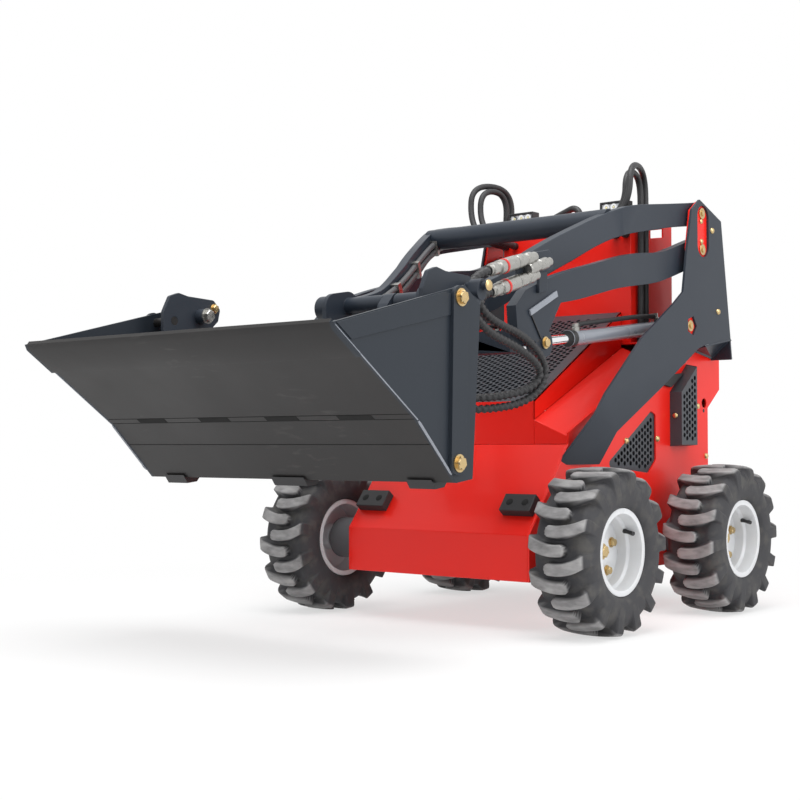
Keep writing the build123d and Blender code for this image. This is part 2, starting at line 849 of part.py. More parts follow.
# Cross beam between the lower arms, with the front lugs
half_beam = cross_beam_size / 2
front_lug_inner = cheek_inside - arm_width
beam_outline = [
    (cross_beam[0] - half_beam, cross_beam[1] - half_beam),
    (cross_beam[0] + half_beam, cross_beam[1] - half_beam),
    (cross_beam[0] + half_beam, cross_beam[1] + half_beam),
    (cross_beam[0] - half_beam, cross_beam[1] + half_beam),
]
with BuildPart() as lower_cross_beam:
    plate(beam_outline, -arm_inner, arm_inner)
    for lug_from in (-cheek_inside, front_lug_inner):
        capsule(cross_beam, front_pivot, front_lug_radius, lug_from, lug_from + arm_width)
        bar(front_pivot, lug_from, lug_from + arm_width, pin_hole, Mode.SUBTRACT)
nodes["lower_cross_beam"] = lower_cross_beam

# Carriage
base_eye_half = tilt_eye_width / 2 + eye_side_gap
with BuildPart() as carriage:
    capsule(upper_front, tilt_base, carriage_cheek_radius, carriage_inner, carriage_outer)
    capsule(upper_front, front_pivot, carriage_cheek_radius, carriage_inner, carriage_outer)
    capsule(front_pivot, tilt_pivot, carriage_cheek_radius, carriage_inner, carriage_outer)
    bar(upper_front, carriage_outer, front_outer + pin_head_thickness, pivot_pin_radius)
    bar(upper_front, front_outer + seat_clearance, front_outer + pin_head_thickness, pin_head_radius)
    bar(front_pivot, front_lug_inner - pin_head_thickness, carriage_inner, pivot_pin_radius)
    head_end = front_lug_inner - seat_clearance
    bar(front_pivot, front_lug_inner - pin_head_thickness, head_end, pin_head_radius)
    bar(tilt_base, base_eye_half, carriage_inner, carriage_tube_radius)
    mirror(about=Plane.YZ)
    bar(tilt_base, -base_eye_half, base_eye_half, cylinder_pin_radius)
    bar(carriage_tube, -carriage_inner, carriage_inner, carriage_tube_radius)
    bar(tilt_pivot, -carriage_inner, carriage_inner, tilt_pin_radius)
nodes["carriage"] = carriage

# Bucket back: moldboard and ear plates
ear_inner = back_half - back_plate
with BuildPart() as bucket_back:
    plate(sheet([back_foot, back_top], back_plate), -back_half, back_half)
    plate(ear_outline, ear_inner, back_half, corner=ear_corner)
    bar(clam_hinge, ear_inner, back_half, clam_hinge_pin_radius + running_clearance, Mode.SUBTRACT)
    bar(cylinder_pin, back_half, cylinder_pin_end, cylinder_pin_radius)
    bar(cylinder_pin, cylinder_pin_end, cylinder_pin_end + pin_head_thickness, bolt_head_radius)
    mirror(about=Plane.YZ)
nodes["bucket_back"] = bucket_back

# Ribs between the moldboard and the attach plate
rib_outline = [back_foot, (attach_plate_y, attach_foot), (attach_plate_y, attach_top), back_top]
with BuildPart() as bucket_ribs:
    for rib_x in rib_places:
        plate(rib_outline, rib_x, rib_x + back_plate)
    mirror(about=Plane.YZ)
nodes["bucket_ribs"] = bucket_ribs

# Attach plate
attach_face = attach_plate_y + attach_thickness
attach_outline = [
    (attach_plate_y, attach_foot),
    (attach_face, attach_foot),
    (attach_face, attach_top),
    (attach_plate_y, attach_top),
]
with BuildPart() as attach_plate:
    plate(attach_outline, -attach_half, attach_half)
nodes["attach_plate"] = attach_plate

# Lugs on the attach plate for the tilt pin and the tilt rod
rod_lug_inner = tilt_eye_width / 2 + eye_side_gap
rod_lug_outer = rod_lug_inner + lug_plate
with BuildPart() as tilt_lugs:
    for lug_pin, lug_radius, lug_from in (
        (tilt_pivot, tilt_boss_radius, cheek_inside - lug_plate),
        (tilt_lug, tilt_eye_radius, rod_lug_inner),
    ):
        web = [
            (attach_face, lug_pin[1] - lug_radius),
            (lug_pin[0], lug_pin[1] - lug_radius),
            (lug_pin[0], lug_pin[1] + lug_radius),
            (attach_face, lug_pin[1] + lug_radius),
        ]
        plate(web, lug_from, lug_from + lug_plate)
        bar(lug_pin, lug_from, lug_from + lug_plate, lug_radius)
    tilt_bore = tilt_pin_radius + running_clearance
    bar(tilt_pivot, cheek_inside - lug_plate, cheek_inside, tilt_bore, Mode.SUBTRACT)
    bar(tilt_lug, rod_lug_outer, rod_lug_outer + pin_head_thickness, cylinder_pin_radius)
    mirror(about=Plane.YZ)
nodes["tilt_lugs"] = tilt_lugs

# Clam: folded bottom with the cutting edge, side plates and hinge strips
strip_outer = bucket_half + hinge_strip
clam_side = [lip, floor_fold, heel, clam_rear_foot, clam_rear_top, clam_rear_crown, clam_top_front]
edge_end = toward(lip, floor_fold, edge_depth)
edge_front, edge_rear = beside([lip, edge_end], -edge_plate)
edge_outline = [lip, edge_end, edge_rear, toward(edge_front, edge_rear, edge_bevel)]
with BuildPart() as clam:
    plate(sheet([lip, floor_fold, heel, clam_rear_foot], clam_plate), -clam_inner, clam_inner)
    plate(edge_outline, -bucket_half, bucket_half)
    plate(clam_side, clam_inner, bucket_half)
    plate(clam_side, -bucket_half, -clam_inner)
    for hand in (-1, 1):
        strip_from = min(hand * bucket_half, hand * strip_outer)
        capsule(clam_hinge, cylinder_bolt, strip_radius, strip_from, strip_from + hinge_strip)
        head_from = min(hand * strip_outer, hand * (strip_outer + bolt_head_height))
        many_sided(clam_hinge, head_from, head_from + bolt_head_height, bolt_head_radius, 6)
        many_sided(cylinder_bolt, head_from, head_from + bolt_head_height, bolt_head_radius, 6)
        pin_from = min(hand * ear_inner, hand * clam_inner)
        bar(clam_hinge, pin_from, pin_from + clam_inner - ear_inner, clam_hinge_pin_radius)
nodes["clam"] = clam

# Hydraulic cylinders
cylinder_pair("lift_left", lift_base, lift_eye, lift_x, lift_barrel_radius, lift_rod_radius,
              lift_eye_radius, lift_eye_width, lift_barrel_end, lift_retract)
cylinder_pair("tilt", tilt_base, tilt_lug, 0, tilt_barrel_radius, tilt_rod_radius,
              tilt_eye_radius, tilt_eye_width, tilt_barrel_end, 0)
cylinder_pair("clam_left", cylinder_pin, cylinder_bolt, clam_cylinder_x, clam_barrel_radius, clam_rod_radius,
              clam_eye_radius, clam_eye_width, clam_barrel_end, 0)
for cylinder in ("lift", "clam"):
    for piece in ("barrel", "rod"):
        nodes[f"{cylinder}_right_{piece}"] = mirrored(nodes[f"{cylinder}_left_{piece}"])

# Rear deck under the console, with its skirts
with BuildPart() as rear_deck:
    deck_outline = [
        (console_front, console_foot - sheet_metal),
        (shelf_rear, console_foot - sheet_metal),
        (shelf_rear, console_foot),
        (console_front, console_foot),
    ]
    plate(deck_outline, -rear_deck_half, rear_deck_half)
    skirt_outline = [
        (console_front, rear_shelf_height),
        (shelf_rear, rear_shelf_height),
        (shelf_rear, console_foot - sheet_metal),
        (console_front, console_foot - sheet_metal),
    ]
    plate(skirt_outline, rear_deck_half - sheet_metal, rear_deck_half)
    plate(skirt_outline, -rear_deck_half, -rear_deck_half + sheet_metal)
nodes["rear_deck"] = rear_deck

# Console: a sheet metal box with a window in each side and an opening towards the operator
console_outline = [
    (console_front, console_foot),
    (console_rear, console_foot),
    (console_rear, console_rear_top),
    (console_front + lamp_shelf, console_top),
    (console_front, console_top),
]
with BuildPart() as console:
    plate(console_outline, -console_half, console_half)
    inside = inset(console_outline, sheet_metal)
    inside[0] = (inside[0][0], console_foot)
    inside[1] = (inside[1][0], console_foot)
    plate(inside, -console_half + sheet_metal, console_half - sheet_metal, Mode.SUBTRACT)
    plate(console_window, -console_half, console_half, Mode.SUBTRACT)
    rear_window = [
        (console_rear - sheet_metal, rear_window_foot),
        (console_rear, rear_window_foot),
        (console_rear, rear_window_top),
        (console_rear - sheet_metal, rear_window_top),
    ]
    rear_window_half = console_half - rear_window_margin
    plate(rear_window, -rear_window_half, rear_window_half, Mode.SUBTRACT)
nodes["console"] = console

# Work lamps with recessed lenses, on their stems
with BuildPart() as work_lamps:
    lamp_middle = console_top + lamp_stem + lamp_height / 2
    with Locations(place(lamp_x, lamp_y, lamp_middle)):
        Box(lamp_width, lamp_depth, lamp_height)
    with BuildSketch(section_plane(lamp_x, lamp_y - lamp_depth / 2, lamp_middle)) as lens:
        Rectangle(lamp_width - 2 * lamp_rim, lamp_height - 2 * lamp_rim)
    extrude(lens.sketch, amount=-lamp_lens_depth, mode=Mode.SUBTRACT)
    with Locations(place(lamp_x, lamp_y, console_top + lamp_stem / 2)):
        Box(lamp_foot, lamp_foot, lamp_stem)
    mirror(about=Plane.YZ)
nodes["work_lamps"] = work_lamps

# Slanted grab bar and the glands that the console's hoses come out of
grab_bar = [
    (grab_bar_low[0], grab_bar_y, console_top),
    (grab_bar_low[0], grab_bar_y, grab_bar_low[1]),
    (grab_bar_high[0], grab_bar_y, grab_bar_high[1]),
    (grab_bar_high[0], grab_bar_y, console_top),
]
with BuildPart() as controls:
    tube_along(grab_bar, grab_bar_radius, grab_bar_bend)
    for hand in (-1, 1):
        for route in console_hoses.values():
            front_x, front_y, front_z = route[0]
            rear_x, rear_y, rear_z = route[-1]
            front_origin = place(hand * front_x, front_y, front_z)
            front_gland = Plane(origin=front_origin, x_dir=(1, 0, 0), z_dir=(0, 1, 0))
            rod_between(front_gland, 0, console_front - front_y, gland_radius)
            rear_gland = Plane(origin=place(hand * rear_x, rear_y, console_foot))
            rod_between(rear_gland, 0, rear_z - console_foot, gland_radius)
nodes["controls"] = controls

# Hoses that loop up from the console to the rear deck
for name, route in console_hoses.items():
    with BuildPart() as console_hose:
        tube_along(route, hose_radius, hose_bend)
    nodes[f"console_hose_{name}_left"] = console_hose
    nodes[f"console_hose_{name}_right"] = mirrored(console_hose)

# Stepped rear door above the rear plate
with BuildPart() as rear_door:
    door_line = [
        (body_rear, rear_step_foot),
        (tail_y, rear_step_head),
        (tail_y, console_foot - sheet_metal),
    ]
    plate(sheet(door_line, sheet_metal), -inner_half, inner_half)
nodes["rear_door"] = rear_door

# Operator's platform with a raised rear lip
with BuildPart() as platform:
    platform_outline = [
        (body_rear, platform_height - platform_thickness),
        (platform_rear, platform_height - platform_thickness),
        (platform_rear, platform_height + platform_lip),
        (platform_rear - platform_lip, platform_height + platform_lip),
        (platform_rear - platform_lip, platform_height),
        (body_rear, platform_height),
    ]
    plate(platform_outline, -platform_half, platform_half)
nodes["platform"] = platform

# Engine and pump as one closed mass
with BuildPart() as engine:
    with Locations(place(0, engine_y, belly_height + sheet_metal + engine_height / 2)):
        Box(engine_width, engine_length, engine_height)
nodes["engine"] = engine

# Rubber stops on the nose
nose_slope = (wall_foot - nose_height) / (wall_front - nose_front)
pad_foot = nose_height + nose_slope * (pad_y - nose_front)
pad_outer = half_body - pad_inset
with BuildPart() as arm_stops:
    pad_line = [
        (pad_y + pad_length / 2, pad_foot + nose_slope * pad_length / 2),
        (pad_y - pad_length / 2, pad_foot - nose_slope * pad_length / 2),
    ]
    plate(sheet(pad_line, -pad_thickness), pad_outer - pad_width, pad_outer)
    mirror(about=Plane.YZ)
nodes["arm_stops"] = arm_stops

# Couplers and their bracket on the left lower arm
bracket_inner = arm_outer + coupler_standoff
with BuildPart() as couplers:
    plate(coupler_bracket, bracket_inner, bracket_inner + coupler_plate)
    plate(coupler_tab, arm_outer, bracket_inner)
    for rear, front in zip(coupler_rear, coupler_front):
        length = hypot(front[0] - rear[0], front[1] - rear[1])
        coupler_plane = along(rear, front, coupler_x)
        rod_between(coupler_plane, 0, length, coupler_radius)
        rod_between(coupler_plane, length * collar_from, length * collar_to, collar_radius)
nodes["couplers"] = couplers

# Hoses from the couplers to the carriage
for name, route in coupler_hoses.items():
    with BuildPart() as coupler_hose:
        tube_along(route, hose_radius, coupler_hose_bend)
    nodes[f"coupler_hose_{name}"] = coupler_hose

for name, builder in nodes.items():
    builder.part.label = name
    export_step(builder.part, f"parts/{name}.step")
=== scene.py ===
"""Looks of a stand-on skid steer loader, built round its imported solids, in metres.

+Z is up, the bucket points along -Y and the machine's left side is +X. Points of the side view count
Y from the middle between the axles and Z from the ground.
"""
import json
from math import asin, ceil, cos, hypot, pi, radians, sin

import bpy
import numpy as np
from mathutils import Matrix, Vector
from mathutils.geometry import delaunay_2d_cdt


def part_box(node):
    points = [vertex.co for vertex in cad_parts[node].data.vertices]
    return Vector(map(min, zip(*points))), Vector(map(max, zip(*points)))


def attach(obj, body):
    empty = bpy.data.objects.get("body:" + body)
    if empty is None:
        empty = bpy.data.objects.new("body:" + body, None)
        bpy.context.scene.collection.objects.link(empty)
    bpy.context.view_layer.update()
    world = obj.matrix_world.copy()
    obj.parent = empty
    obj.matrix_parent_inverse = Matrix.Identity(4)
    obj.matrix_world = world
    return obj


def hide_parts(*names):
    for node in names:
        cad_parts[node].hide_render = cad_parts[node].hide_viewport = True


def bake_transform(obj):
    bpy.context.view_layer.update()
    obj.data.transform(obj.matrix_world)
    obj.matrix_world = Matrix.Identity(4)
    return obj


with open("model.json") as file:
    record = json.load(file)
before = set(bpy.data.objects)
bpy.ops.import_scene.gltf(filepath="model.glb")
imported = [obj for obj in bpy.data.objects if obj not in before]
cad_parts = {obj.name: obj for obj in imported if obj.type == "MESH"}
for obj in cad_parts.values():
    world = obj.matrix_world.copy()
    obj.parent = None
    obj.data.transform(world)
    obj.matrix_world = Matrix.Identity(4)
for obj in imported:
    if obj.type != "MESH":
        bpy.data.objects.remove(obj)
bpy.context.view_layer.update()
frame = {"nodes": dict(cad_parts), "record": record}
nodes = frame["nodes"]


def middle_of(node):
    """Middle of a node's box."""
    low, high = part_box(node)
    return (low + high) / 2


front_wheel = middle_of("tyre_front_left")
rear_wheel = middle_of("tyre_rear_left")
axle_mid = (front_wheel.y + rear_wheel.y) / 2
hands = {"left": 1, "right": -1}
leftward = Vector((1, 0, 0))
backward = Vector((0, 1, 0))
upward = Vector((0, 0, 1))
# Faces that meet at more than this angle keep a crisp edge
crisp = radians(30)


def place(x, y, z):
    """Point of the machine, with length counted from the middle between the axles."""
    return Vector((x, axle_mid + y, z))


def linked(name, data):
    """New object in the scene."""
    made = bpy.data.objects.new(name, data)
    bpy.context.collection.objects.link(made)
    return made


def aimed(made, location, target):
    """Camera or lamp put at a place and pointed at a target."""
    made.location = location
    made.rotation_euler = (target - location).to_track_quat("-Z", "Y").to_euler()


# Camera at the photograph's place
camera_place = Vector((2.519, -3.3705, 0.516))
camera_target = Vector((-0.498, 0.2995, 0.668))
camera_lens = 63.48
camera_sensor = 36
camera_data = bpy.data.cameras.new("camera")
camera_data.lens = camera_lens
camera_data.sensor_width = camera_sensor
camera = linked("camera", camera_data)
aimed(camera, camera_place, camera_target)
scene = bpy.context.scene
scene.camera = camera
scene.view_settings.view_transform = "Standard"

# Materials: noise scales and spans, and how strongly they act
cloud_scale = 4.0
dusty_clouds = (0.45, 0.75)
noise_span = (0.3, 0.7)
gloss_shares = (0.85, 1.25)
grain_scale = 260.0
grain_detail = 2.0
grain_height = 0.0002
bump_strength = 0.35
coat_roughness = 0.08


def new_material(name, colour, roughness, metallic=0.0):
    """Plain material with its shader."""
    material = bpy.data.materials.new(name)
    material.use_nodes = True
    shader = material.node_tree.nodes["Principled BSDF"]
    shader.inputs["Base Color"].default_value = (*colour, 1)
    shader.inputs["Roughness"].default_value = roughness
    shader.inputs["Metallic"].default_value = metallic
    return material


def node_of(tree, kind, links=(), values=(), operation=None):
    """New shader node with its links and values."""
    made = tree.nodes.new(f"ShaderNode{kind}")
    if operation:
        made.operation = operation
    for socket, source in dict(links).items():
        tree.links.new(source, made.inputs[socket])
    for socket, value in dict(values).items():
        made.inputs[socket].default_value = value
    return made


def noise_of(material, scale, detail=5.0, stretch=(1, 1, 1)):
    """Noise that is fixed to the piece, as a value from 0 to 1."""
    tree = material.node_tree
    own_place = node_of(tree, "TexCoord").outputs["Object"]
    stretched = node_of(tree, "Mapping", {"Vector": own_place}, {"Scale": stretch}).outputs["Vector"]
    return node_of(tree, "TexNoise", {"Vector": stretched}, {"Scale": scale, "Detail": detail}).outputs["Fac"]


def between(material, value, low, high, to_low, to_high):
    """Value moved from one span to another and held inside it."""
    spans = {"From Min": low, "From Max": high, "To Min": to_low, "To Max": to_high}
    return node_of(material.node_tree, "MapRange", {"Value": value}, spans).outputs["Result"]


def times(material, first, second):
    """Product of two values."""
    return node_of(material.node_tree, "Math", {0: first, 1: second}, operation="MULTIPLY").outputs[0]


def stained(material, share, colour):
    """Second colour over the first one, where share is high."""
    tree = material.node_tree
    base = tree.nodes["Principled BSDF"].inputs["Base Color"]
    mix = tree.nodes.new("ShaderNodeMix")
    mix.data_type = "RGBA"
    colours = [socket for socket in mix.inputs if socket.type == "RGBA"]
    if base.is_linked:
        tree.links.new(base.links[0].from_socket, colours[0])
    else:
        colours[0].default_value = base.default_value
    colours[1].default_value = (*colour, 1)
    tree.links.new(share, mix.inputs["Factor"])
    tree.links.new([socket for socket in mix.outputs if socket.type == "RGBA"][0], base)


def rough(material, value):
    """Roughness that changes over the surface."""
    tree = material.node_tree
    tree.links.new(value, tree.nodes["Principled BSDF"].inputs["Roughness"])


def bumped(material, height, distance):
    """Small unevenness of the surface."""
    tree = material.node_tree
    bump = node_of(tree, "Bump", {"Height": height}, {"Strength": bump_strength, "Distance": distance})
    tree.links.new(bump.outputs["Normal"], tree.nodes["Principled BSDF"].inputs["Normal"])


def paint(name, colour, roughness, dust, dust_share, coat=0.0, shine=0.5):
    """Sprayed paint with a little dust."""
    material = new_material(name, colour, roughness)
    shader = material.node_tree.nodes["Principled BSDF"]
    shader.inputs["Specular IOR Level"].default_value = shine
    shader.inputs["Coat Weight"].default_value = coat
    shader.inputs["Coat Roughness"].default_value = coat_roughness
    clouds = noise_of(material, cloud_scale)
    stained(material, between(material, clouds, *dusty_clouds, 0.0, dust_share), dust)
    gloss = [roughness * share for share in gloss_shares]
    rough(material, between(material, clouds, *noise_span, *gloss))
    bumped(material, noise_of(material, grain_scale, grain_detail), grain_height)
    return material


red = paint("red_paint", (0.85, 0.013, 0.006), 0.34, (0.80, 0.034, 0.018), 0.15, coat=0.10, shine=0.3)
grey = paint("grey_paint", (0.022, 0.029, 0.041), 0.40, (0.062, 0.068, 0.080), 0.20, shine=0.3)
cylinder_grey = paint("cylinder_grey", (0.24, 0.26, 0.30), 0.26, (0.32, 0.33, 0.35), 0.2, coat=0.4)
rim_paint = paint("rim_paint", (0.70, 0.715, 0.735), 0.32, (0.5, 0.49, 0.47), 0.2, coat=0.2)
mesh_grey = paint("mesh_grey", (0.040, 0.044, 0.054), 0.42, (0.09, 0.09, 0.095), 0.2)
black_plastic = paint("black_plastic", (0.016, 0.016, 0.018), 0.42, (0.05, 0.05, 0.05), 0.15)
hose_grey = new_material("hose_grey", (0.075, 0.075, 0.080), 0.45)
black_rubber = paint("black_rubber", (0.018, 0.018, 0.020), 0.55, (0.06, 0.06, 0.06), 0.2)
# Near-black: painted shade in holes, slots and vents and behind perforated sheets, and dark seam lines
dark_inside = new_material("dark_inside", (0.004, 0.004, 0.004), 0.9)
cast_grey = paint("cast_grey", (0.10, 0.10, 0.11), 0.6, (0.16, 0.15, 0.14), 0.3)
red_plastic = paint("red_plastic", (0.62, 0.03, 0.025), 0.35, (0.5, 0.1, 0.1), 0.1)
zinc = new_material("zinc_steel", (0.62, 0.46, 0.23), 0.32, metallic=1.0)
rough(zinc, between(zinc, noise_of(zinc, 90.0), *noise_span, 0.22, 0.42))
steel = new_material("bare_steel", (0.40, 0.395, 0.375), 0.27, metallic=1.0)
rough(steel, between(steel, noise_of(steel, 120.0), *noise_span, 0.22, 0.45))
chrome = new_material("chrome_rod", (0.86, 0.87, 0.89), 0.07, metallic=1.0)
reflector = new_material("lamp_reflector", (0.88, 0.88, 0.88), 0.12, metallic=1.0)
led = new_material("lamp_led", (0.85, 0.78, 0.42), 0.35)
lens = new_material("lamp_lens", (0.50, 0.52, 0.55), 0.20)

# Bucket paint: faintly scuffed and dusty below, where its warm tint is a painted reflection of the brownish
# ground; cleaner and bluer slate paint on the side plates
bucket_paint = paint("bucket_paint", (0.020, 0.019, 0.019), 0.38, (0.042, 0.040, 0.039), 0.35, shine=0.25)
scuffs = times(
    bucket_paint,
    between(bucket_paint, noise_of(bucket_paint, 3.0, 3.0), 0.52, 0.70, 0.0, 1.0),
    between(bucket_paint, noise_of(bucket_paint, 60.0, 6.0, (0.3, 1, 1)), 0.58, 0.70, 0.0, 0.22),
)
stained(bucket_paint, scuffs, (0.15, 0.145, 0.135))
side_plate_from = 0.5255
tree = bucket_paint.node_tree
bucket_place = node_of(tree, "TexCoord").outputs["Object"]
bucket_x = node_of(tree, "SeparateXYZ", {"Vector": bucket_place}).outputs["X"]
from_middle = node_of(tree, "Math", {0: bucket_x}, operation="ABSOLUTE").outputs[0]
on_side = node_of(tree, "Math", {0: from_middle}, {1: side_plate_from}, "GREATER_THAN").outputs[0]
stained(bucket_paint, on_side, (0.021, 0.027, 0.036))

# Tyre rubber, dusty on the side and pale where the lugs are worn
tyre_rubber = new_material("tyre_rubber", (0.034, 0.034, 0.038), 0.68)
tyre_dust = between(tyre_rubber, noise_of(tyre_rubber, 26.0, 7.0), 0.48, 0.72, 0.0, 0.55)
stained(tyre_rubber, tyre_dust, (0.095, 0.090, 0.080))
worn_faces = tyre_rubber.node_tree.nodes.new("ShaderNodeAttribute")
worn_faces.attribute_name = "worn"
streaks = between(tyre_rubber, noise_of(tyre_rubber, 45.0, 8.0, (0.4, 1, 1)), 0.34, 0.66, 0.45, 1.0)
stained(tyre_rubber, times(tyre_rubber, worn_faces.outputs["Fac"], streaks), (0.34, 0.335, 0.335))
bumped(tyre_rubber, noise_of(tyre_rubber, 300.0, 4.0), 0.0006)

slot_materials = {
    "red_paint": red,
    "grey_paint": grey,
    "tyre": tyre_rubber,
    "rim_paint": rim_paint,
    "zinc_steel": zinc,
    "bare_steel": steel,
    "chrome_rod": chrome,
    "black_rubber": black_rubber,
    "black_plastic": black_plastic,
    "cast_grey": cast_grey,
}
node_materials = {
    "couplers": grey,
    "clam": bucket_paint,
    "lift_left_barrel": cylinder_grey,
    "lift_right_barrel": cylinder_grey,
}

# The solids get their paint and softened edges
edge_radius = 0.0022
edge_angle = radians(35)
doubled_within = 0.00002
flat_angle = radians(0.6)


def softened(made, width):
    """Rounding of an object's sharp edges."""
    soften = made.modifiers.new("soften", "BEVEL")
    soften.width = width
    soften.segments = 2
    soften.limit_method = "ANGLE"
    soften.angle_limit = edge_angle
    soften.harden_normals = True


for subpart in frame["record"]["subparts"]:
    node = subpart["node"]
    solid = nodes[node]
    solid.data.materials.clear()
    solid.data.materials.append(node_materials.get(node, slot_materials[subpart["material_slot"]]))
    if "custom_normal" in solid.data.attributes:
        solid.data.attributes.remove(solid.data.attributes["custom_normal"])
    solid.data.shade_smooth()
    weld = solid.modifiers.new("weld", "WELD")
    weld.merge_threshold = doubled_within
    flat = solid.modifiers.new("flat", "DECIMATE")
    flat.decimate_type = "DISSOLVE"
    flat.angle_limit = flat_angle
    softened(solid, edge_radius)


# Shapes, each a list of points and a list of faces
def ring_faces(rings, sides):
    """Faces of a closed body whose points lie in rings."""
    faces = [tuple(range(sides))[::-1]]
    for ring in range(rings - 1):
        for count in range(sides):
            after = (count + 1) % sides
            faces.append((ring * sides + count, ring * sides + after,
                          (ring + 1) * sides + after, (ring + 1) * sides + count))
    faces.append(tuple(range((rings - 1) * sides, rings * sides)))
    return faces


def turned(profile, start, direction, sides=24):
    """Round body about a line, through (distance along, radius) stations."""
    direction = direction.normalized()
    first = direction.orthogonal().normalized()
    second = direction.cross(first).normalized()
    points = []
    for along, radius in profile:
        for count in range(sides):
            angle = 2 * pi * count / sides
            points.append(start + direction * along + (first * cos(angle) + second * sin(angle)) * radius)
    return points, ring_faces(len(profile), sides)


def bolt(start, direction, radius, height):
    """Hexagon head on a washer."""
    washer = turned([(0, radius * 1.3), (height * 0.2, radius * 1.3)], start, direction, sides=20)
    head = turned([(0, radius), (height * 0.85, radius), (height, radius * 0.86)], start, direction, sides=6)
    return [washer, head]


def dome(start, direction, radius, height):
    """Rounded cap head."""
    profile = [(0, radius), (height * 0.4, radius * 0.94), (height * 0.75, radius * 0.7),
               (height, radius * 0.3)]
    return [turned(profile, start, direction, sides=16)]


def prism(outline, start, across, up, depth):
    """Straight block whose outline is drawn on the across and up directions."""
    out = across.cross(up).normalized()
    near = [start + across * a + up * b for a, b in outline]
    points = near + [point + out * depth for point in near]
    count = len(outline)
    faces = [tuple(range(count))[::-1], tuple(range(count, 2 * count))]
    for index in range(count):
        after = (index + 1) % count
        faces.append((index, after, count + after, count + index))
    return points, faces


def rectangle(half_width, half_height):
    """Outline about a middle."""
    return [(-half_width, -half_height), (half_width, -half_height),
            (half_width, half_height), (-half_width, half_height)]


def block(low, high):
    """Box between two corners."""
    size = high - low
    outline = [(0, 0), (size.x, 0), (size.x, size.y), (0, size.y)]
    return prism(outline, low, leftward, backward, size.z)


def side_plate(outline, x, thickness):
    """Plate with its outline drawn on the side view, from a distance off the middle to the left."""
    return prism(outline, place(x, 0, 0), backward, upward, thickness)


def slab(corners, thickness):
    """Plate on four corners, counterclockwise seen from its face, with its thickness behind them."""
    behind = (corners[1] - corners[0]).cross(corners[3] - corners[0]).normalized() * -thickness
    sides = [(0, 4, 5, 1), (1, 5, 6, 2), (2, 6, 7, 3), (3, 7, 4, 0)]
    return corners + [corner + behind for corner in corners], [(0, 1, 2, 3), (7, 6, 5, 4)] + sides


def distances_along(points):
    """Length from the first point to each point."""
    lengths = [0.0]
    for first, second in zip(points, points[1:]):
        lengths.append(lengths[-1] + (second - first).length)
    return lengths


def tube(points, sides, radius_at):
    """Tube along points, whose radius is a function of the distance along and the angle."""
    lengths = distances_along(points)
    side = (points[1] - points[0]).orthogonal().normalized()
    shape = []
    for index, point in enumerate(points):
        ahead = points[min(index + 1, len(points) - 1)] - points[max(index - 1, 0)]
        ahead.normalize()
        side = (side - ahead * side.dot(ahead)).normalized()
        other = ahead.cross(side)
        for count in range(sides):
            angle = 2 * pi * count / sides
            radius = radius_at(lengths[index], angle)
            shape.append(point + (side * cos(angle) + other * sin(angle)) * radius)
    return shape, ring_faces(len(points), sides)


def mirrored(shapes):
    """The same shapes on the machine's other side."""
    copies = []
    for points, faces in shapes:
        copies.append(([Vector((-p.x, p.y, p.z)) for p in points], [face[::-1] for face in faces]))
    return copies


def both_sides(shapes):
    """Shapes and their mirror images."""
    return shapes + mirrored(shapes)


def piece(name, shapes, body, material, slot, smooth=radians(40), rounding=0.0):
    """One joined mesh that rides on a body."""
    points = []
    faces = []
    for shape_points, shape_faces in shapes:
        start = len(points)
        points.extend(shape_points)
        faces.extend(tuple(index + start for index in face) for face in shape_faces)
    mesh = bpy.data.meshes.new(name)
    mesh.from_pydata(points, [], faces)
    mesh.shade_smooth()
    mesh.set_sharp_from_angle(angle=smooth)
    mesh.materials.append(material)
    made = linked(name, mesh)
    if rounding:
        softened(made, rounding)
    if body:
        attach(made, body)
    return made


def pair(name, shapes, *looks, **edges):
    """Piece with its shapes on both sides of the machine."""
    return piece(name, both_sides(shapes), *looks, **edges)


# Tyres: a round carcass with two staggered rows of curved lugs
tyre_radius = front_wheel.z
half_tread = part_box("tyre_front_left")[1].x - front_wheel.x
lugs_per_row = 14
columns_per_lug = 40
lug_inner_place = -0.016
lug_outer_place = 0.009
lug_bow = -0.010
lug_inner_half = 0.0180
lug_outer_half = 0.0205
lug_overlap = 0.036
lug_inner_end = lug_inner_half - lug_overlap
lug_draft = 0.0050
lug_corner = 0.030
lug_shoulder_radius = 0.2
worn_share = 0.8
worn_radius = 0.2185
# Side of the tyre from the bead to the lugs, then on to the edge of the tread with carcass and lug,
# each as (offset, radius)
plain_side = [(0.0690, 0.1095), (0.0700, 0.1200), (0.0770, 0.1212), (0.0800, 0.1250), (0.0815, 0.1258),
              (0.0852, 0.1345), (0.0874, 0.1450)]
lug_side = [
    ((0.0882, 0.1570), (0.0884, 0.1570)), ((0.0868, 0.1700), (0.0886, 0.1690)),
    ((0.0845, 0.1790), (0.0889, 0.1790)), ((0.0805, 0.1880), (0.0889, 0.1900)),
    ((0.0755, 0.1950), (0.0888, 0.2000)), ((0.0700, 0.2000), (0.0884, 0.2080)),
    ((0.0650, 0.2030), (0.0862, 0.2150)), ((0.0610, 0.2042), (0.0815, 0.2205)),
    ((0.0580, 0.2046), (0.0740, 0.2234)),
]
tyre_side = [(point, point) for point in plain_side] + lug_side
tread_columns = 15


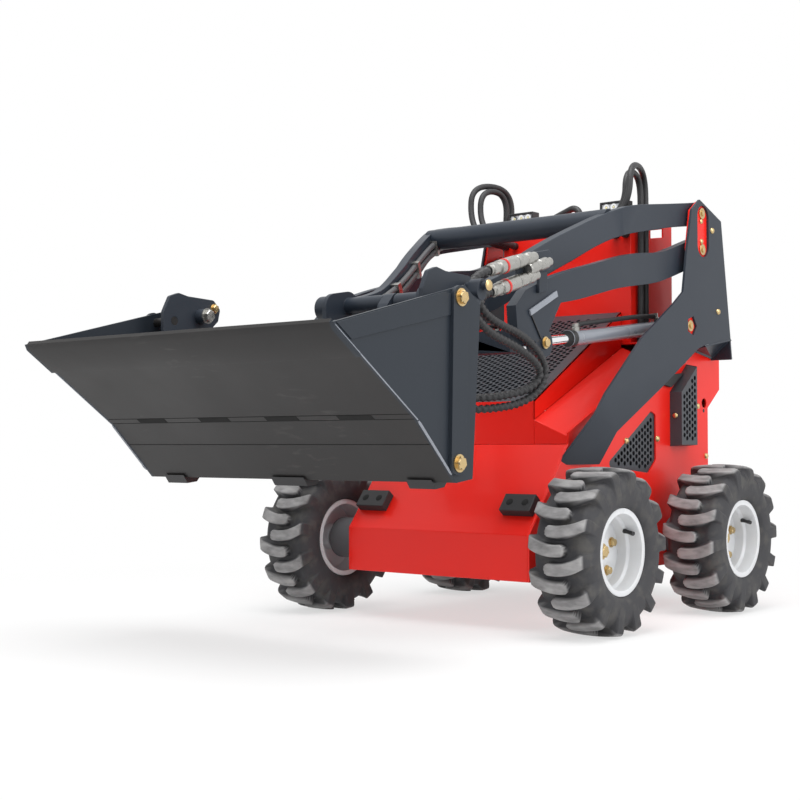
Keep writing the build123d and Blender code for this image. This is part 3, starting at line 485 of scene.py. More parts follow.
def tyre_stations():
    """Carcass offset and radius, lug offset and radius and place across, over the whole tyre."""
    half = []
    for (x, radius), (lug_x, lug_radius) in tyre_side:
        across = min(lug_x, half_tread) if lug_radius > lug_shoulder_radius else half_tread
        half.append((x, radius, lug_x, lug_radius, across))
    edge_x, tread_radius, edge_lug_x, edge_lug_radius = half[-1][:4]
    for count in range(1, tread_columns + 1):
        share = 1 - count / tread_columns
        lug_x = edge_lug_x * share
        lug_radius = tyre_radius - (tyre_radius - edge_lug_radius) * share ** 2
        half.append((edge_x * share, tread_radius, lug_x, lug_radius, lug_x))
    other_half = np.array(half[-2::-1]) * (-1, 1, -1, 1, -1)
    return np.concatenate([half, other_half])


def lug_middle(across):
    """Share of a lug's length at a place across the tread, and its bowed middle line there."""
    share = np.clip((across - lug_inner_end) / (half_tread - lug_inner_end), 0, 1)
    straight = lug_inner_place + (lug_outer_place - lug_inner_place) * share
    return share, straight + lug_bow * 4 * share * (1 - share)


def row_mask(across, along):
    """How much of a lug stands at a place: 1 on its face, 0 beside it."""
    share, middle = lug_middle(across)
    half = lug_inner_half + (lug_outer_half - lug_inner_half) * share ** 2
    short = np.minimum(across - lug_inner_end, 0)
    gap = np.hypot(along - middle, short) - half
    level = np.clip(0.5 - gap / lug_draft, 0, 1)
    return level * level * (3 - 2 * level)


def tyre(hand, end):
    """Tyre mesh for one wheel, in place of its solid."""
    stations = tyre_stations()
    columns = lugs_per_row * columns_per_lug
    step = 2 * pi / lugs_per_row
    turn = asin(lug_corner / tyre_radius)
    x, radius, lug_x, lug_radius, across = [stations[:, i][None, :] for i in range(5)]
    bend = lug_middle(np.abs(across))[1] / tyre_radius
    angles = 2 * pi * np.arange(columns)[:, None] / columns - bend
    across_count = len(stations)
    mask = np.zeros((columns, across_count))
    for row, shift in ((1, 0.0), (-1, 0.5)):
        offset = (angles + turn - shift * step) % step
        offset = np.where(offset > step / 2, offset - step, offset)
        for neighbour in (-1, 0, 1):
            along = -(offset + neighbour * step) * tyre_radius
            mask = np.maximum(mask, row_mask(row * across, along))
    out_x = x + (lug_x - x) * mask
    out_radius = radius + (lug_radius - radius) * mask
    wheel = middle_of(f"tyre_{end}_{hand}")
    sign = hands[hand]
    points = np.empty((columns, across_count, 3))
    points[..., 0] = wheel.x + sign * out_x
    points[..., 1] = wheel.y - out_radius * np.sin(angles)
    points[..., 2] = wheel.z + out_radius * np.cos(angles)
    index = np.arange(columns * across_count).reshape(columns, across_count)
    after = np.roll(index, -1, axis=0)
    corners = [index, after, np.roll(after, -1, axis=1), np.roll(index, -1, axis=1)]
    faces = np.stack(corners, axis=-1).reshape(-1, 4)
    if sign < 0:
        faces = faces[:, ::-1]
    shape = (points.reshape(-1, 3).tolist(), faces.tolist())
    made = piece(f"tyre_lugs_{end}_{hand}", [shape], f"wheel_{end}_{hand}", tyre_rubber, "tyre", pi)
    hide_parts(f"tyre_{end}_{hand}")
    on_top = np.clip((mask - worn_share) / (1 - worn_share), 0, 1) * (lug_radius > worn_radius)
    worn = made.data.attributes.new("worn", "FLOAT", "POINT")
    worn.data.foreach_set("value", on_top.reshape(-1).astype(np.float32))


for end in ("front", "rear"):
    for hand in hands:
        tyre(hand, end)

# Wheel nuts, centre nuts and valves
sleeve_end = 0.010
nut_circle = 0.067
nuts_per_wheel = 5
nut_size = (0.011, 0.014)
centre_nut_size = (0.017, 0.014)
valve_foot = Vector((0.031, 0.083, 0.052))
valve_way = Vector((0.034, -0.010, -0.006))
valve_profile = [(0, 0.007), (0.010, 0.0055), (0.022, 0.005), (0.024, 0.006), (0.036, 0.006)]
for end in ("front", "rear"):
    for hand, sign in hands.items():
        wheel = middle_of(f"tyre_{end}_{hand}")
        outward = Vector((sign, 0, 0))
        nuts = []
        for count in range(nuts_per_wheel):
            angle = 2 * pi * count / nuts_per_wheel
            around = Vector((0, -nut_circle * sin(angle), nut_circle * cos(angle)))
            nuts += bolt(wheel + around, outward, *nut_size)
        nuts += bolt(wheel + outward * sleeve_end, outward, *centre_nut_size)
        piece(f"wheel_nuts_{end}_{hand}", nuts, f"wheel_{end}_{hand}", zinc, "zinc_steel", crisp)
        to_own_side = Vector((sign, 1, 1))
        stem_start = wheel + to_own_side * valve_foot
        stem = turned(valve_profile, stem_start, to_own_side * valve_way, sides=12)
        piece(f"valve_{end}_{hand}", [stem], f"wheel_{end}_{hand}", black_rubber, "black_rubber")


# Perforated sheets
hole_pitch = 0.0205
hole_radius = 0.0078
hole_sides = 8
hole_share = 0.98
merge_distance = 1e-6
# Gap and thickness of the dark sheets of painted shade behind the perforated sheets
shade_sheet_gap = 0.004
shade_sheet_thickness = 0.001


def hole_places(outline, margin):
    """Staggered places inside a convex counterclockwise outline, clear of its edges."""
    corners = np.array(outline)
    low = corners.min(axis=0)
    high = corners.max(axis=0)
    column_step = hole_pitch * cos(pi / 6)
    places = []
    for column in range(ceil((high[0] - low[0]) / column_step) + 1):
        for row in range(ceil((high[1] - low[1]) / hole_pitch) + 1):
            place_here = low + np.array([column * column_step, (row + column % 2 / 2) * hole_pitch])
            edges = np.roll(corners, -1, axis=0) - corners
            offsets = place_here - corners
            depths = (edges[:, 0] * offsets[:, 1] - edges[:, 1] * offsets[:, 0]) / np.hypot(*edges.T)
            if depths.min() >= margin:
                places.append(place_here)
    return np.array(places)


def perforated(outline, field, margin, to_space, thickness):
    """Sheet with an outline, and round holes inside a field of it, as a shape."""
    centres = hole_places(field, margin)
    flat_points = [Vector(point) for point in outline]
    edges = [(index, (index + 1) % len(outline)) for index in range(len(outline))]
    for centre in centres:
        start = len(flat_points)
        for count in range(hole_sides):
            angle = 2 * pi * count / hole_sides
            flat_points.append(Vector(centre) + Vector((cos(angle), sin(angle))) * hole_radius)
            edges.append((start + count, start + (count + 1) % hole_sides))
    found, _, triangles, *_ = delaunay_2d_cdt(flat_points, edges, [], 1, merge_distance)
    flat = np.array(found)
    kept = []
    hole_reach = hole_radius * cos(pi / hole_sides) * hole_share
    for triangle in triangles:
        middle = flat[list(triangle)].mean(axis=0)
        if np.hypot(*(centres - middle).T).min() > hole_reach:
            kept.append(tuple(triangle))
    count = len(flat)
    points = [to_space(a, b, 0) for a, b in flat] + [to_space(a, b, -thickness) for a, b in flat]
    faces = list(kept)
    faces += [tuple(index + count for index in triangle[::-1]) for triangle in kept]
    used = {(a, b) for t in kept for a, b in zip(t, t[1:] + t[:1])}
    for first, second in used:
        if (second, first) not in used:
            faces.append((second, first, first + count, second + count))
    return points, faces


# Side grilles behind the panels' openings
grille_opening = [(-0.050, 0.452), (0.210, 0.430), (0.255, 0.470), (0.255, 0.612), (0.226, 0.622)]
grille_overlap = 0.012
grille_margin = 0.014
grille_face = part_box("side_grilles")[1].x
grille_thickness = 0.004


def widened(outline, distance):
    """Counterclockwise outline moved outwards by a distance."""
    moved = []
    for before, here, after in zip(outline[-1:] + outline, outline, outline[1:] + outline[:1]):
        first = (Vector(here) - Vector(before)).normalized()
        second = (Vector(after) - Vector(here)).normalized()
        normal = Vector((first.y + second.y, -first.x - second.x))
        moved.append(tuple(Vector(here) + normal * (distance / (1 + first.dot(second)))))
    return moved


def on_left(distance):
    """Places on a side view plane at a distance from the middle."""
    return lambda y, z, out: place(distance + out, y, z)


grille_sheet = perforated(widened(grille_opening, grille_overlap), grille_opening, grille_margin,
                          on_left(grille_face), grille_thickness)
grilles = pair("grille_sheets", [grille_sheet], "chassis", mesh_grey, "grey_paint", crisp)
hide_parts("side_grilles")
# Dark sheet behind the grille: painted shade of the inside, seen through the holes
grille_shade_sheet = side_plate(grille_opening, grille_face - grille_thickness - shade_sheet_gap, shade_sheet_thickness)
pair("grille_shade_sheets", [grille_shade_sheet], "chassis", dark_inside, "black_plastic")

# Boxed vents with a perforated face, and a dark sheet of painted shade inside
vent_face = [(0.351, 0.684), (0.351, 0.517), (0.455, 0.517), (0.455, 0.770)]
vent_flare = 0.004
vent_margin = 0.013
vent_metal = 0.003
vent_shade_inset = 0.006
vent_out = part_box("side_vents")[1].x
panel_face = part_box("side_panel_left")[1].x
vent_foot = widened(vent_face, vent_flare)
vent_walls = []
for index in range(len(vent_face)):
    after = (index + 1) % len(vent_face)
    vent_wall = [place(panel_face, *vent_foot[index]), place(panel_face, *vent_foot[after]),
                 place(vent_out, *vent_face[after]), place(vent_out, *vent_face[index])]
    vent_walls.append(slab(vent_wall, vent_metal))
vent_sheet = perforated(vent_face, vent_face, vent_margin, on_left(vent_out), vent_metal)
vents = pair("vent_boxes", vent_walls + [vent_sheet], "chassis", mesh_grey, "grey_paint", crisp)
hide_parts("side_vents")
# Dark sheet inside the vent box: painted shade, seen through the holes
vent_inside = widened(vent_foot, -vent_shade_inset)
vent_shade_sheet = side_plate(vent_inside, panel_face + shade_sheet_thickness, shade_sheet_thickness)
pair("vent_shade_sheets", [vent_shade_sheet], "chassis", dark_inside, "black_plastic")

# Hood: front wall, cheeks and a perforated slope, with a dark sheet of painted shade under the slope
hood_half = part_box("hood")[1].x
hood_sheet = 0.004
wall_front = -0.250
wall_foot = 0.519
wall_top = 0.645
hood_end = 0.246
hood_top = 0.940
cheek_drop = 0.055
deck_rise = 0.476
hood_border = 0.040
slope_length = hypot(hood_end - wall_front, hood_top - wall_top)
slope_way = Vector((0, hood_end - wall_front, hood_top - wall_top)) / slope_length
slope_out = leftward.cross(slope_way)


def on_slope(x, along, out):
    """Place on the hood's slope."""
    return place(x, wall_front, wall_top) + slope_way * along + slope_out * out


def slope_outline(border):
    """Outline on the slope, at a distance from its edges."""
    half = hood_half - border
    end = slope_length - border
    return [(-half, border), (half, border), (half, end), (-half, end)]


hood_field = slope_outline(hood_border)
hood_slope = perforated(slope_outline(0), hood_field, 0.0, on_slope, hood_sheet)
cheek = [(wall_front, wall_top - cheek_drop),
         (hood_end, wall_top - cheek_drop + deck_rise * (hood_end - wall_front)),
         (hood_end, hood_top), (wall_front, wall_top)]
hood_cheek = side_plate(cheek, hood_half - hood_sheet, hood_sheet)
hood_wall = block(place(-hood_half, wall_front, wall_foot),
                  place(hood_half, wall_front + hood_sheet, wall_top))
hood = piece("hood_mesh", [hood_slope], "chassis", mesh_grey, "grey_paint", crisp)
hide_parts("hood")
piece("hood_walls", both_sides([hood_cheek]) + [hood_wall], "chassis", red, "red_paint", crisp)
# Dark sheet under the slope: painted shade of the inside, seen through the holes
hood_inside = [on_slope(x, along, -hood_sheet - shade_sheet_gap) for x, along in hood_field]
hood_shade_sheet = slab(hood_inside, shade_sheet_thickness)
piece("hood_shade_sheet", [hood_shade_sheet], "chassis", dark_inside, "black_plastic")

# Hoses: each follows the same points as its solid
hose_radius = 0.010
hose_fineness = 24


def route_of(name, points, radius):
    """Smooth curve with the route's points as its control points."""
    curve = bpy.data.curves.new(name, "CURVE")
    curve.dimensions = "3D"
    spline = curve.splines.new("NURBS")
    spline.points.add(len(points) - 1)
    for control, point in zip(spline.points, points):
        control.co = (*point, 1)
    spline.order_u = 3
    spline.use_endpoint_u = True
    curve.resolution_u = hose_fineness
    curve.bevel_depth = radius
    curve.bevel_resolution = 5
    curve.use_fill_caps = True
    return linked(name, curve)


def line_of(points, fineness):
    """Points along the route's smooth curve."""
    guide = route_of("guide", points, 0.0)
    guide.data.resolution_u = fineness
    guide.data.use_fill_caps = False
    line = bpy.data.meshes.new_from_object(guide)
    found = [vertex.co.copy() for vertex in line.vertices]
    bpy.data.objects.remove(guide)
    bpy.data.meshes.remove(line)
    return found


console_hoses = {
    "outer": [(0.233, 0.230, 1.188), (0.233, 0.125, 1.188), (0.306, 0.140, 1.270), (0.306, 0.150, 1.398),
              (0.259, 0.322, 1.398), (0.264, 0.316, 1.225), (0.259, 0.322, 1.050), (0.259, 0.322, 0.864)],
    "inner": [(0.196, 0.230, 1.188), (0.196, 0.140, 1.188), (0.280, 0.160, 1.262), (0.280, 0.166, 1.378),
              (0.259, 0.290, 1.378), (0.264, 0.285, 1.225), (0.259, 0.290, 1.050), (0.259, 0.290, 0.864)],
}
coupler_hoses = {
    "lower": [(0.4013, -0.727, 0.910), (0.4013, -0.7903, 0.8908), (0.403, -0.742, 0.838),
              (0.403, -0.556, 0.802), (0.398, -0.446, 0.716), (0.382, -0.520, 0.630),
              (0.330, -0.680, 0.606), (0.255, -0.740, 0.618), (0.178, -0.740, 0.634)],
    "upper": [(0.4013, -0.736, 0.964), (0.4013, -0.8373, 0.9362), (0.403, -0.795, 0.818),
              (0.403, -0.570, 0.764), (0.398, -0.478, 0.712), (0.384, -0.530, 0.660),
              (0.334, -0.676, 0.636), (0.260, -0.722, 0.650), (0.178, -0.722, 0.664)],
}
for layer, route in console_hoses.items():
    for hand, sign in hands.items():
        points = [place(sign * x, y, z) for x, y, z in route]
        hose = route_of(f"console_line_{layer}_{hand}", points, hose_radius)
        hose.data.materials.append(black_rubber)
        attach(hose, "chassis")
        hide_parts(f"console_hose_{layer}_{hand}")
        distances_along(line_of(points, hose_fineness))[-1]

# Hoses from the couplers in their spiral guards, which run from the arms to the carriage
guard_pitch = 0.017
guard_ridge = 0.0016
guard_fineness = 70
guard_smooth = radians(80)


def guard_radius(along, angle):
    """Hose radius with the ridge of its spiral guard."""
    wave = 0.5 + 0.5 * cos(angle - 2 * pi * along / guard_pitch)
    return hose_radius - guard_ridge + 2 * guard_ridge * wave


for layer, route in coupler_hoses.items():
    points = [place(*point) for point in route]
    line = line_of(points, guard_fineness)
    guarded = [tube(line, sides=18, radius_at=guard_radius)]
    hose = piece(f"coupler_line_{layer}", guarded, None, black_rubber, "black_rubber", guard_smooth)
    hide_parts(f"coupler_hose_{layer}")
    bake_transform(hose)

# Fittings where the coupler hoses reach the carriage
fitting_profile = [(-0.004, 0.014), (0.014, 0.014), (0.016, 0.012), (0.030, 0.012)]
fitting_way = Vector((1, 0, -0.2))
hose_ends = []
for route in coupler_hoses.values():
    hose_ends.append(turned(fitting_profile, place(*route[-1]), fitting_way, sides=12))
piece("carriage_fittings", hose_ends, "carriage", steel, "bare_steel")

# Quick couplers: stepped sleeves over the solids, red rings and a third, shorter coupler
coupler_lines = [
    (place(0.4013, -0.525, 1.022), place(0.4013, -0.736, 0.964)),
    (place(0.4013, -0.516, 0.974), place(0.4013, -0.727, 0.910)),
]
coupler_profile = [
    (0.00, 0.0135), (0.10, 0.0135), (0.11, 0.0170), (0.20, 0.0170), (0.21, 0.0145), (0.27, 0.0145),
    (0.28, 0.0185), (0.40, 0.0185), (0.41, 0.0160), (0.44, 0.0160), (0.45, 0.0195), (0.66, 0.0195),
    (0.67, 0.0175), (0.70, 0.0175), (0.71, 0.0190), (0.80, 0.0190), (0.81, 0.0150), (0.86, 0.0150),
    (0.87, 0.0170), (0.95, 0.0170), (0.96, 0.0135), (1.00, 0.0135),
]
coupler_sides = 28
ring_place = 0.685
ring_profile = [(-0.004, 0.0178), (-0.003, 0.0205), (0.003, 0.0205), (0.004, 0.0178)]
sleeves = []
rings = []
for rear, front in coupler_lines:
    way = front - rear
    profile = [(share * way.length, radius) for share, radius in coupler_profile]
    sleeves.append(turned(profile, rear, way, coupler_sides))
    ring_middle = ring_place * way.length
    profile = [(ring_middle + away, radius) for away, radius in ring_profile]
    rings.append(turned(profile, rear, way, coupler_sides))
short_rear = place(0.402, -0.453, 1.016)
short_front = place(0.402, -0.563, 0.983)
short_profile = [
    (0, 0.012), (0.02, 0.012), (0.021, 0.0165), (0.055, 0.0165), (0.057, 0.0145), (0.075, 0.0145),
    (0.077, 0.0175), (0.108, 0.0175), (0.112, 0.0150),
]
sleeves.append(turned(short_profile, short_rear, short_front - short_rear, coupler_sides))
piece("coupler_sleeves", sleeves, "lower_arms", steel, "bare_steel", crisp)
piece("coupler_rings", rings, "lower_arms", red_plastic, "red_paint")

# Work lamps: lens plates with reflector cups and their light chips
lamp_low, lamp_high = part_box("work_lamps")
lamp_x = 0.180
lamp_recess = 0.0048
lamp_drop = 0.030
lamp_middle = Vector((lamp_x, lamp_low.y + lamp_recess, lamp_high.z - lamp_drop))
cup_column_step = 0.0275
cup_row_step = 0.0235
cup_radius = 0.0115
cup_depth = 0.0012
cup_profile = [(0, cup_radius), (cup_depth, cup_radius * 0.96), (cup_depth, cup_radius * 0.9),
               (cup_depth / 4, cup_radius * 0.4)]
chip_profile = [(0.0002, 0.0040), (cup_depth, 0.0034)]
lens_outline = rectangle(0.0425, 0.0225)
lens_thickness = 0.0008
cups = []
chips = []
for column in (-1, 0, 1):
    for row in (-0.5, 0.5):
        centre = lamp_middle + Vector((column * cup_column_step, 0, row * cup_row_step))
        cups.append(turned(cup_profile, centre, -backward, sides=20))
        chips.append(turned(chip_profile, centre, -backward, sides=12))
lens_start = lamp_middle + backward * (lens_thickness / 2)
lens_plate = prism(lens_outline, lens_start, leftward, upward, lens_thickness)
pair("lamp_lenses", [lens_plate], "chassis", lens, "bare_steel", crisp)
pair("lamp_cups", cups, "chassis", reflector, "bare_steel", radians(25))
pair("lamp_chips", chips, "chassis", led, "zinc_steel")

# Bolts, bushes and pin caps at the bucket's ears and the clam's hinges and cylinder ends
clam_hinge = (-1.045, 0.861)
cylinder_bolt = (-1.054, 0.474)
clam_outer = 0.546
clam_bolt_size = (0.0165, 0.0125)
clam_bolts = []
for centre in (clam_hinge, cylinder_bolt):
    clam_bolts += bolt(place(clam_outer, *centre), leftward, *clam_bolt_size)
pair("clam_bolts", clam_bolts, "clam", zinc, "zinc_steel", crisp)
ear_inside = 0.450
ear_nut = (-0.950, 0.880)
ear_nut_size = (0.017, 0.016)
ear_screw = (-0.897, 0.906)
ear_screw_size = (0.011, 0.012)
bush_length = 0.030
bush_profile = [(0, 0.021), (0.026, 0.021), (bush_length, 0.018)]
bush = [turned(bush_profile, place(ear_inside, *ear_nut), -leftward)]
pair("ear_bushes", bush, "bucket", grey, "grey_paint")
ear_nuts = bolt(place(ear_inside - bush_length, *ear_nut), -leftward, *ear_nut_size)
pair("ear_nuts", ear_nuts, "bucket", steel, "bare_steel", crisp)
ear_screws = bolt(place(ear_inside, *ear_screw), -leftward, *ear_screw_size)
pair("ear_screws", ear_screws, "bucket", zinc, "zinc_steel", crisp)
pin_cap_place = place(0.530, -0.912, 0.902)
pin_cap_size = (0.014, 0.004)
pair("clam_pin_caps", dome(pin_cap_place, leftward, *pin_cap_size), "bucket", zinc, "zinc_steel")

# Keeper screws beside the arm pins, and bolts on the ends of these and of the lift cylinders' pins
tower_inner = 0.396
pin_end = tower_inner + 0.004
upper_pin = (0.442, 1.262)
lower_pin = (0.444, 1.145)
lift_base = Vector((0.359, 0.894))
pin_bolt_size = (0.009, 0.004)
keeper_size = (0.009, 0.006)
keeper_ahead = 0.004
keeper_away = 0.026
keepers = []
for (y, z), side in ((upper_pin, -1), (lower_pin, 1)):
    keepers += bolt(place(pin_end, y, z), leftward, *pin_bolt_size)
    keepers += dome(place(tower_inner, y - keeper_ahead, z + side * keeper_away), leftward, *keeper_size)
keepers += bolt(place(pin_end, *lift_base), leftward, *pin_bolt_size)
pair("pin_keepers", keepers, "chassis", zinc, "zinc_steel", crisp)

# Small bolts on the towers, panels, grilles and vents
tower_outer = 0.404
tower_bolts = ((0.499, 1.212), (0.538, 0.951))
tower_bolt_size = (0.010, 0.007)
panel_bolts = ((0.439, 0.788), (0.073, 0.529), (0.263, 0.536), (0.532, 0.644), (0.590, 0.480))
panel_bolt_size = (0.010, 0.008)
vent_bolt = place(panel_face + 0.018, 0.3485, 0.610)
vent_bolt_size = (0.009, 0.006)
small_bolts = []
for y, z in tower_bolts:
    small_bolts += dome(place(tower_outer, y, z), leftward, *tower_bolt_size)
for y, z in panel_bolts:
    small_bolts += dome(place(panel_face, y, z), leftward, *panel_bolt_size)
small_bolts += dome(vent_bolt, -backward, *vent_bolt_size)
pair("body_bolts", small_bolts, "chassis", zinc, "zinc_steel")

# Slanted feet of the towers on the side panels
foot_thickness = 0.006
foot = [place(panel_face, 0.640, 0.806), place(panel_face, 0.480, 0.830), place(tower_outer, 0.445, 0.836),
        place(tower_outer, 0.627, 0.867)]
pair("tower_feet", [slab(foot, foot_thickness)], "chassis", grey, "grey_paint", crisp)

# Rubber seals between the towers and the vents, and black discs of painted shade in the small holes beside
# the tie holes
seal_outline = [(0.292, 0.706), (0.340, 0.700), (0.420, 0.748), (0.352, 0.742)]
seal_thickness = 0.012
small_hole = [(0, 0.007), (0.0006, 0.006)]
seals = [side_plate(seal_outline, panel_face, seal_thickness)]
seals.append(turned(small_hole, place(panel_face, 0.576, 0.630), leftward, sides=12))
pair("panel_seals", seals, "chassis", black_rubber, "black_rubber", rounding=0.001)

# Hose hook on the left lower arm
arm_face = 0.370
hook = [(-0.376, 0.945), (-0.509, 0.882), (-0.503, 0.866), (-0.370, 0.929)]
hook_leg = [(-0.503, 0.872), (-0.452, 0.806), (-0.449, 0.808), (-0.500, 0.874)]
hook_thickness = 0.006
stay_thickness = 0.004
hook_bar = side_plate(hook, arm_face, hook_thickness)
piece("hose_hook", [hook_bar], "lower_arms", cylinder_grey, "grey_paint", rounding=0.0012)
hook_stay = side_plate(hook_leg, arm_face, stay_thickness)
piece("hose_hook_stay", [hook_stay], "lower_arms", black_plastic, "black_plastic")

# Dark discs of painted shade in the bolt holes of the nose stops
stop_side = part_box("arm_stops")[1].x
stop_middle = middle_of("arm_stops")
stop_width = 0.104
stop_out = Vector((0, -0.78, 0.62))
stop_face = 0.0145
stop_hole = [(0, 0.011), (0.0006, 0.010)]
stop_shares = (0.25, 0.75)
stop_hole_shades = []
for share in stop_shares:
    centre = Vector((stop_side - stop_width * share, stop_middle.y, stop_middle.z)) + stop_out * stop_face
    stop_hole_shades.append(turned(stop_hole, centre, stop_out, sides=16))
pair("stop_hole_shades", stop_hole_shades, "chassis", dark_inside, "black_plastic")

# Lift cylinders: hose line on the barrel, port fittings and wiper rings
lift_eye = Vector((-0.432, 0.797))
lift_way = (lift_eye - lift_base).normalized()
lift_up = Vector((lift_way.y, -lift_way.x))
lift_x = middle_of("lift_left_barrel").x


def by_barrel(along, up):
    """Place beside the left lift barrel, along from its base pin."""
    point = lift_base + lift_way * along + lift_up * up
    return place(lift_x, point.x, point.y)


rod_shown = 0.220
barrel_mouth = (lift_eye - lift_base).length - rod_shown
base_port = 0.058
mouth_port = barrel_mouth - 0.050
wiper_start = barrel_mouth - 0.024
lift_axis = Vector((0, *lift_way))
barrel_out = Vector((0, *lift_up))
pipe_radius = 0.0075
pipe_points = [(0.060, 0.036), (0.090, 0.044), (barrel_mouth - 0.12, 0.040), (barrel_mouth - 0.07, 0.040),
               (mouth_port, 0.034), (mouth_port, 0.018)]
pipe_line = line_of([by_barrel(along, up) for along, up in pipe_points], fineness=12)
pipe = [tube(pipe_line, sides=12, radius_at=lambda along, angle: pipe_radius)]
mouth_port_profile = [(0.012, 0.012), (0.030, 0.012), (0.032, 0.010), (0.042, 0.010)]
base_port_profile = [(0.012, 0.013), (0.034, 0.013), (0.036, 0.011), (0.048, 0.011)]
ports = [turned(mouth_port_profile, by_barrel(mouth_port, 0), barrel_out, sides=6),
         turned(base_port_profile, by_barrel(base_port, 0), barrel_out, sides=6)]
wiper_profile = [(0, 0.0252), (0.004, 0.0262), (0.020, 0.0262), (0.024, 0.0240), (0.0255, 0.0160)]
wiper = [turned(wiper_profile, by_barrel(wiper_start, 0), lift_axis, sides=32)]
for hand, sign in hands.items():
    body = f"lift_{hand}_barrel"
    turn_over = list if sign > 0 else mirrored
    piece(f"barrel_pipe_{hand}", turn_over(pipe), body, black_rubber, "black_rubber")
    piece(f"barrel_ports_{hand}", turn_over(ports), body, steel, "bare_steel")
    piece(f"barrel_wiper_{hand}", turn_over(wiper), body, black_plastic, "black_plastic")
lift_pin_end = 0.374
lift_pin_size = (0.013, 0.010)
lift_pin = bolt(place(lift_pin_end, *lift_eye), leftward, *lift_pin_size)
pair("lift_pin_heads", lift_pin, "lower_arms", zinc, "zinc_steel", crisp)

# Lines clamped along the inside of the upper arms
arm_line_radius = 0.009
arm_line_offset = 0.013
arm_line_fineness = 20
clamp_outline = [(-0.013, -0.025), (0.014, -0.025), (0.014, 0.025), (-0.013, 0.025)]
clamp_length = 0.020
clamp_shares = (0.12, 0.38, 0.62, 0.86)
line_points = [(0.322, 0.118, 1.205), (0.322, 0.060, 1.196), (0.322, -0.020, 1.176), (0.264, -0.170, 1.105),
               (0.203, -0.325, 1.018), (0.172, -0.440, 0.955), (0.166, -0.540, 0.912)]
arm_lines = []
clamps = []
for offset in (-arm_line_offset, arm_line_offset):
    route = [place(x, y, z + offset) for x, y, z in line_points]
    line = line_of(route, arm_line_fineness)
    arm_lines.append(tube(line, sides=14, radius_at=lambda along, angle: arm_line_radius))
clamp_line = line_of([place(*point) for point in line_points], arm_line_fineness)
for share in clamp_shares:
    index = int(share * (len(clamp_line) - 2))
    centre = clamp_line[index]
    way = (clamp_line[index + 1] - centre).normalized()
    level = Vector((way.y, -way.x, 0)).normalized() * (1 if way.y < 0 else -1)
    rise = level.cross(way).normalized()
    clamps.append(prism(clamp_outline, centre - way * (clamp_length / 2), level, rise, clamp_length))
pair("arm_lines", arm_lines, "upper_arms", hose_grey, "black_rubber")
pair("arm_line_clamps", clamps, "upper_arms", steel, "bare_steel")

# Drain slots as dark marks of painted shade, seams and shoes on the bucket's floor, and weld beads, pale edge
# lines of worn edge and painted highlight, and cutters on its sides
floor_fold = (-1.194, 0.573)
floor_heel = (-1.050, 0.428)
floor_half = 0.526
floor_along = Vector((0, -0.285, 0.202)).normalized()
heel_along = Vector((0, floor_heel[0] - floor_fold[0], floor_heel[1] - floor_fold[1])).normalized()
slot_count = 4
slot_length = 0.108
slot_step = 0.238
slot_away = 0.003
slot_height = 0.019
floor_seams = (0.002, 0.021)
heel_seam = 0.078
seam_width = 0.0014
mark_depth = 0.0006


def floor_mark(x_from, x_to, away, along, height):
    """Flat dark mark on the underside of the floor, at a distance from the fold."""
    outline = [(0, 0), (x_to - x_from, 0), (x_to - x_from, height), (0, height)]
    start = place(x_from, *floor_fold) + along * away
    side = mark_depth if leftward.cross(along).z < 0 else -mark_depth
    return prism(outline, start, leftward, along, side)


# Dark marks: painted shade in the drain slots, and dark seam lines
slots = []
for count in range(slot_count):
    x = (count - (slot_count - 1) / 2) * slot_step
    slots.append(floor_mark(x - slot_length / 2, x + slot_length / 2, slot_away, floor_along, slot_height))
for away in floor_seams:
    slots.append(floor_mark(-floor_half, floor_half, away, floor_along, seam_width))
slots.append(floor_mark(-floor_half, floor_half, heel_seam, heel_along, seam_width))
piece("floor_slots", slots, "clam", dark_inside, "grey_paint")
shoe = [(-1.062, 0.434), (-1.046, 0.412), (-1.012, 0.416), (-0.996, 0.4345), (-1.050, 0.4275)]
shoe_spans = ((-0.470, -0.392), (-0.058, 0.058), (0.392, 0.470))
shoes = [side_plate(shoe, x_from, x_to - x_from) for x_from, x_to in shoe_spans]
piece("heel_shoes", shoes, "clam", black_plastic, "black_plastic", crisp)
weld_x = 0.5355
floor_lip = (-1.476, 0.773)
heel_start = place(weld_x, *floor_fold)
heel_bead = [(0.004, 0.0022), (0.012, 0.0030), (0.168, 0.0030), (0.176, 0.0020)]
# Pale line along the side plate's front edge: worn edge and painted highlight
edge_start = place(weld_x, *floor_lip)
edge_wear_and_highlight = [(0.004, 0.0008), (0.010, 0.0014), ((heel_start - edge_start).length, 0.0014)]
weld_and_edge_lines = [turned(heel_bead, heel_start, heel_along, sides=10),
         turned(edge_wear_and_highlight, edge_start, -floor_along, sides=8)]
pair("clam_weld_and_edge_lines", weld_and_edge_lines, "clam", cylinder_grey, "grey_paint")
cutter = [(-1.470, 0.7745), (-1.422, 0.741), (-1.074, 0.818), (-1.074, 0.8685), (-1.104, 0.8685)]
cutter_x = 0.5358
cutter_thickness = 0.0032
side_cutter = side_plate(cutter, cutter_x, cutter_thickness)
pair("side_cutters", [side_cutter], "clam", bucket_paint, "grey_paint", crisp, rounding=0.001)

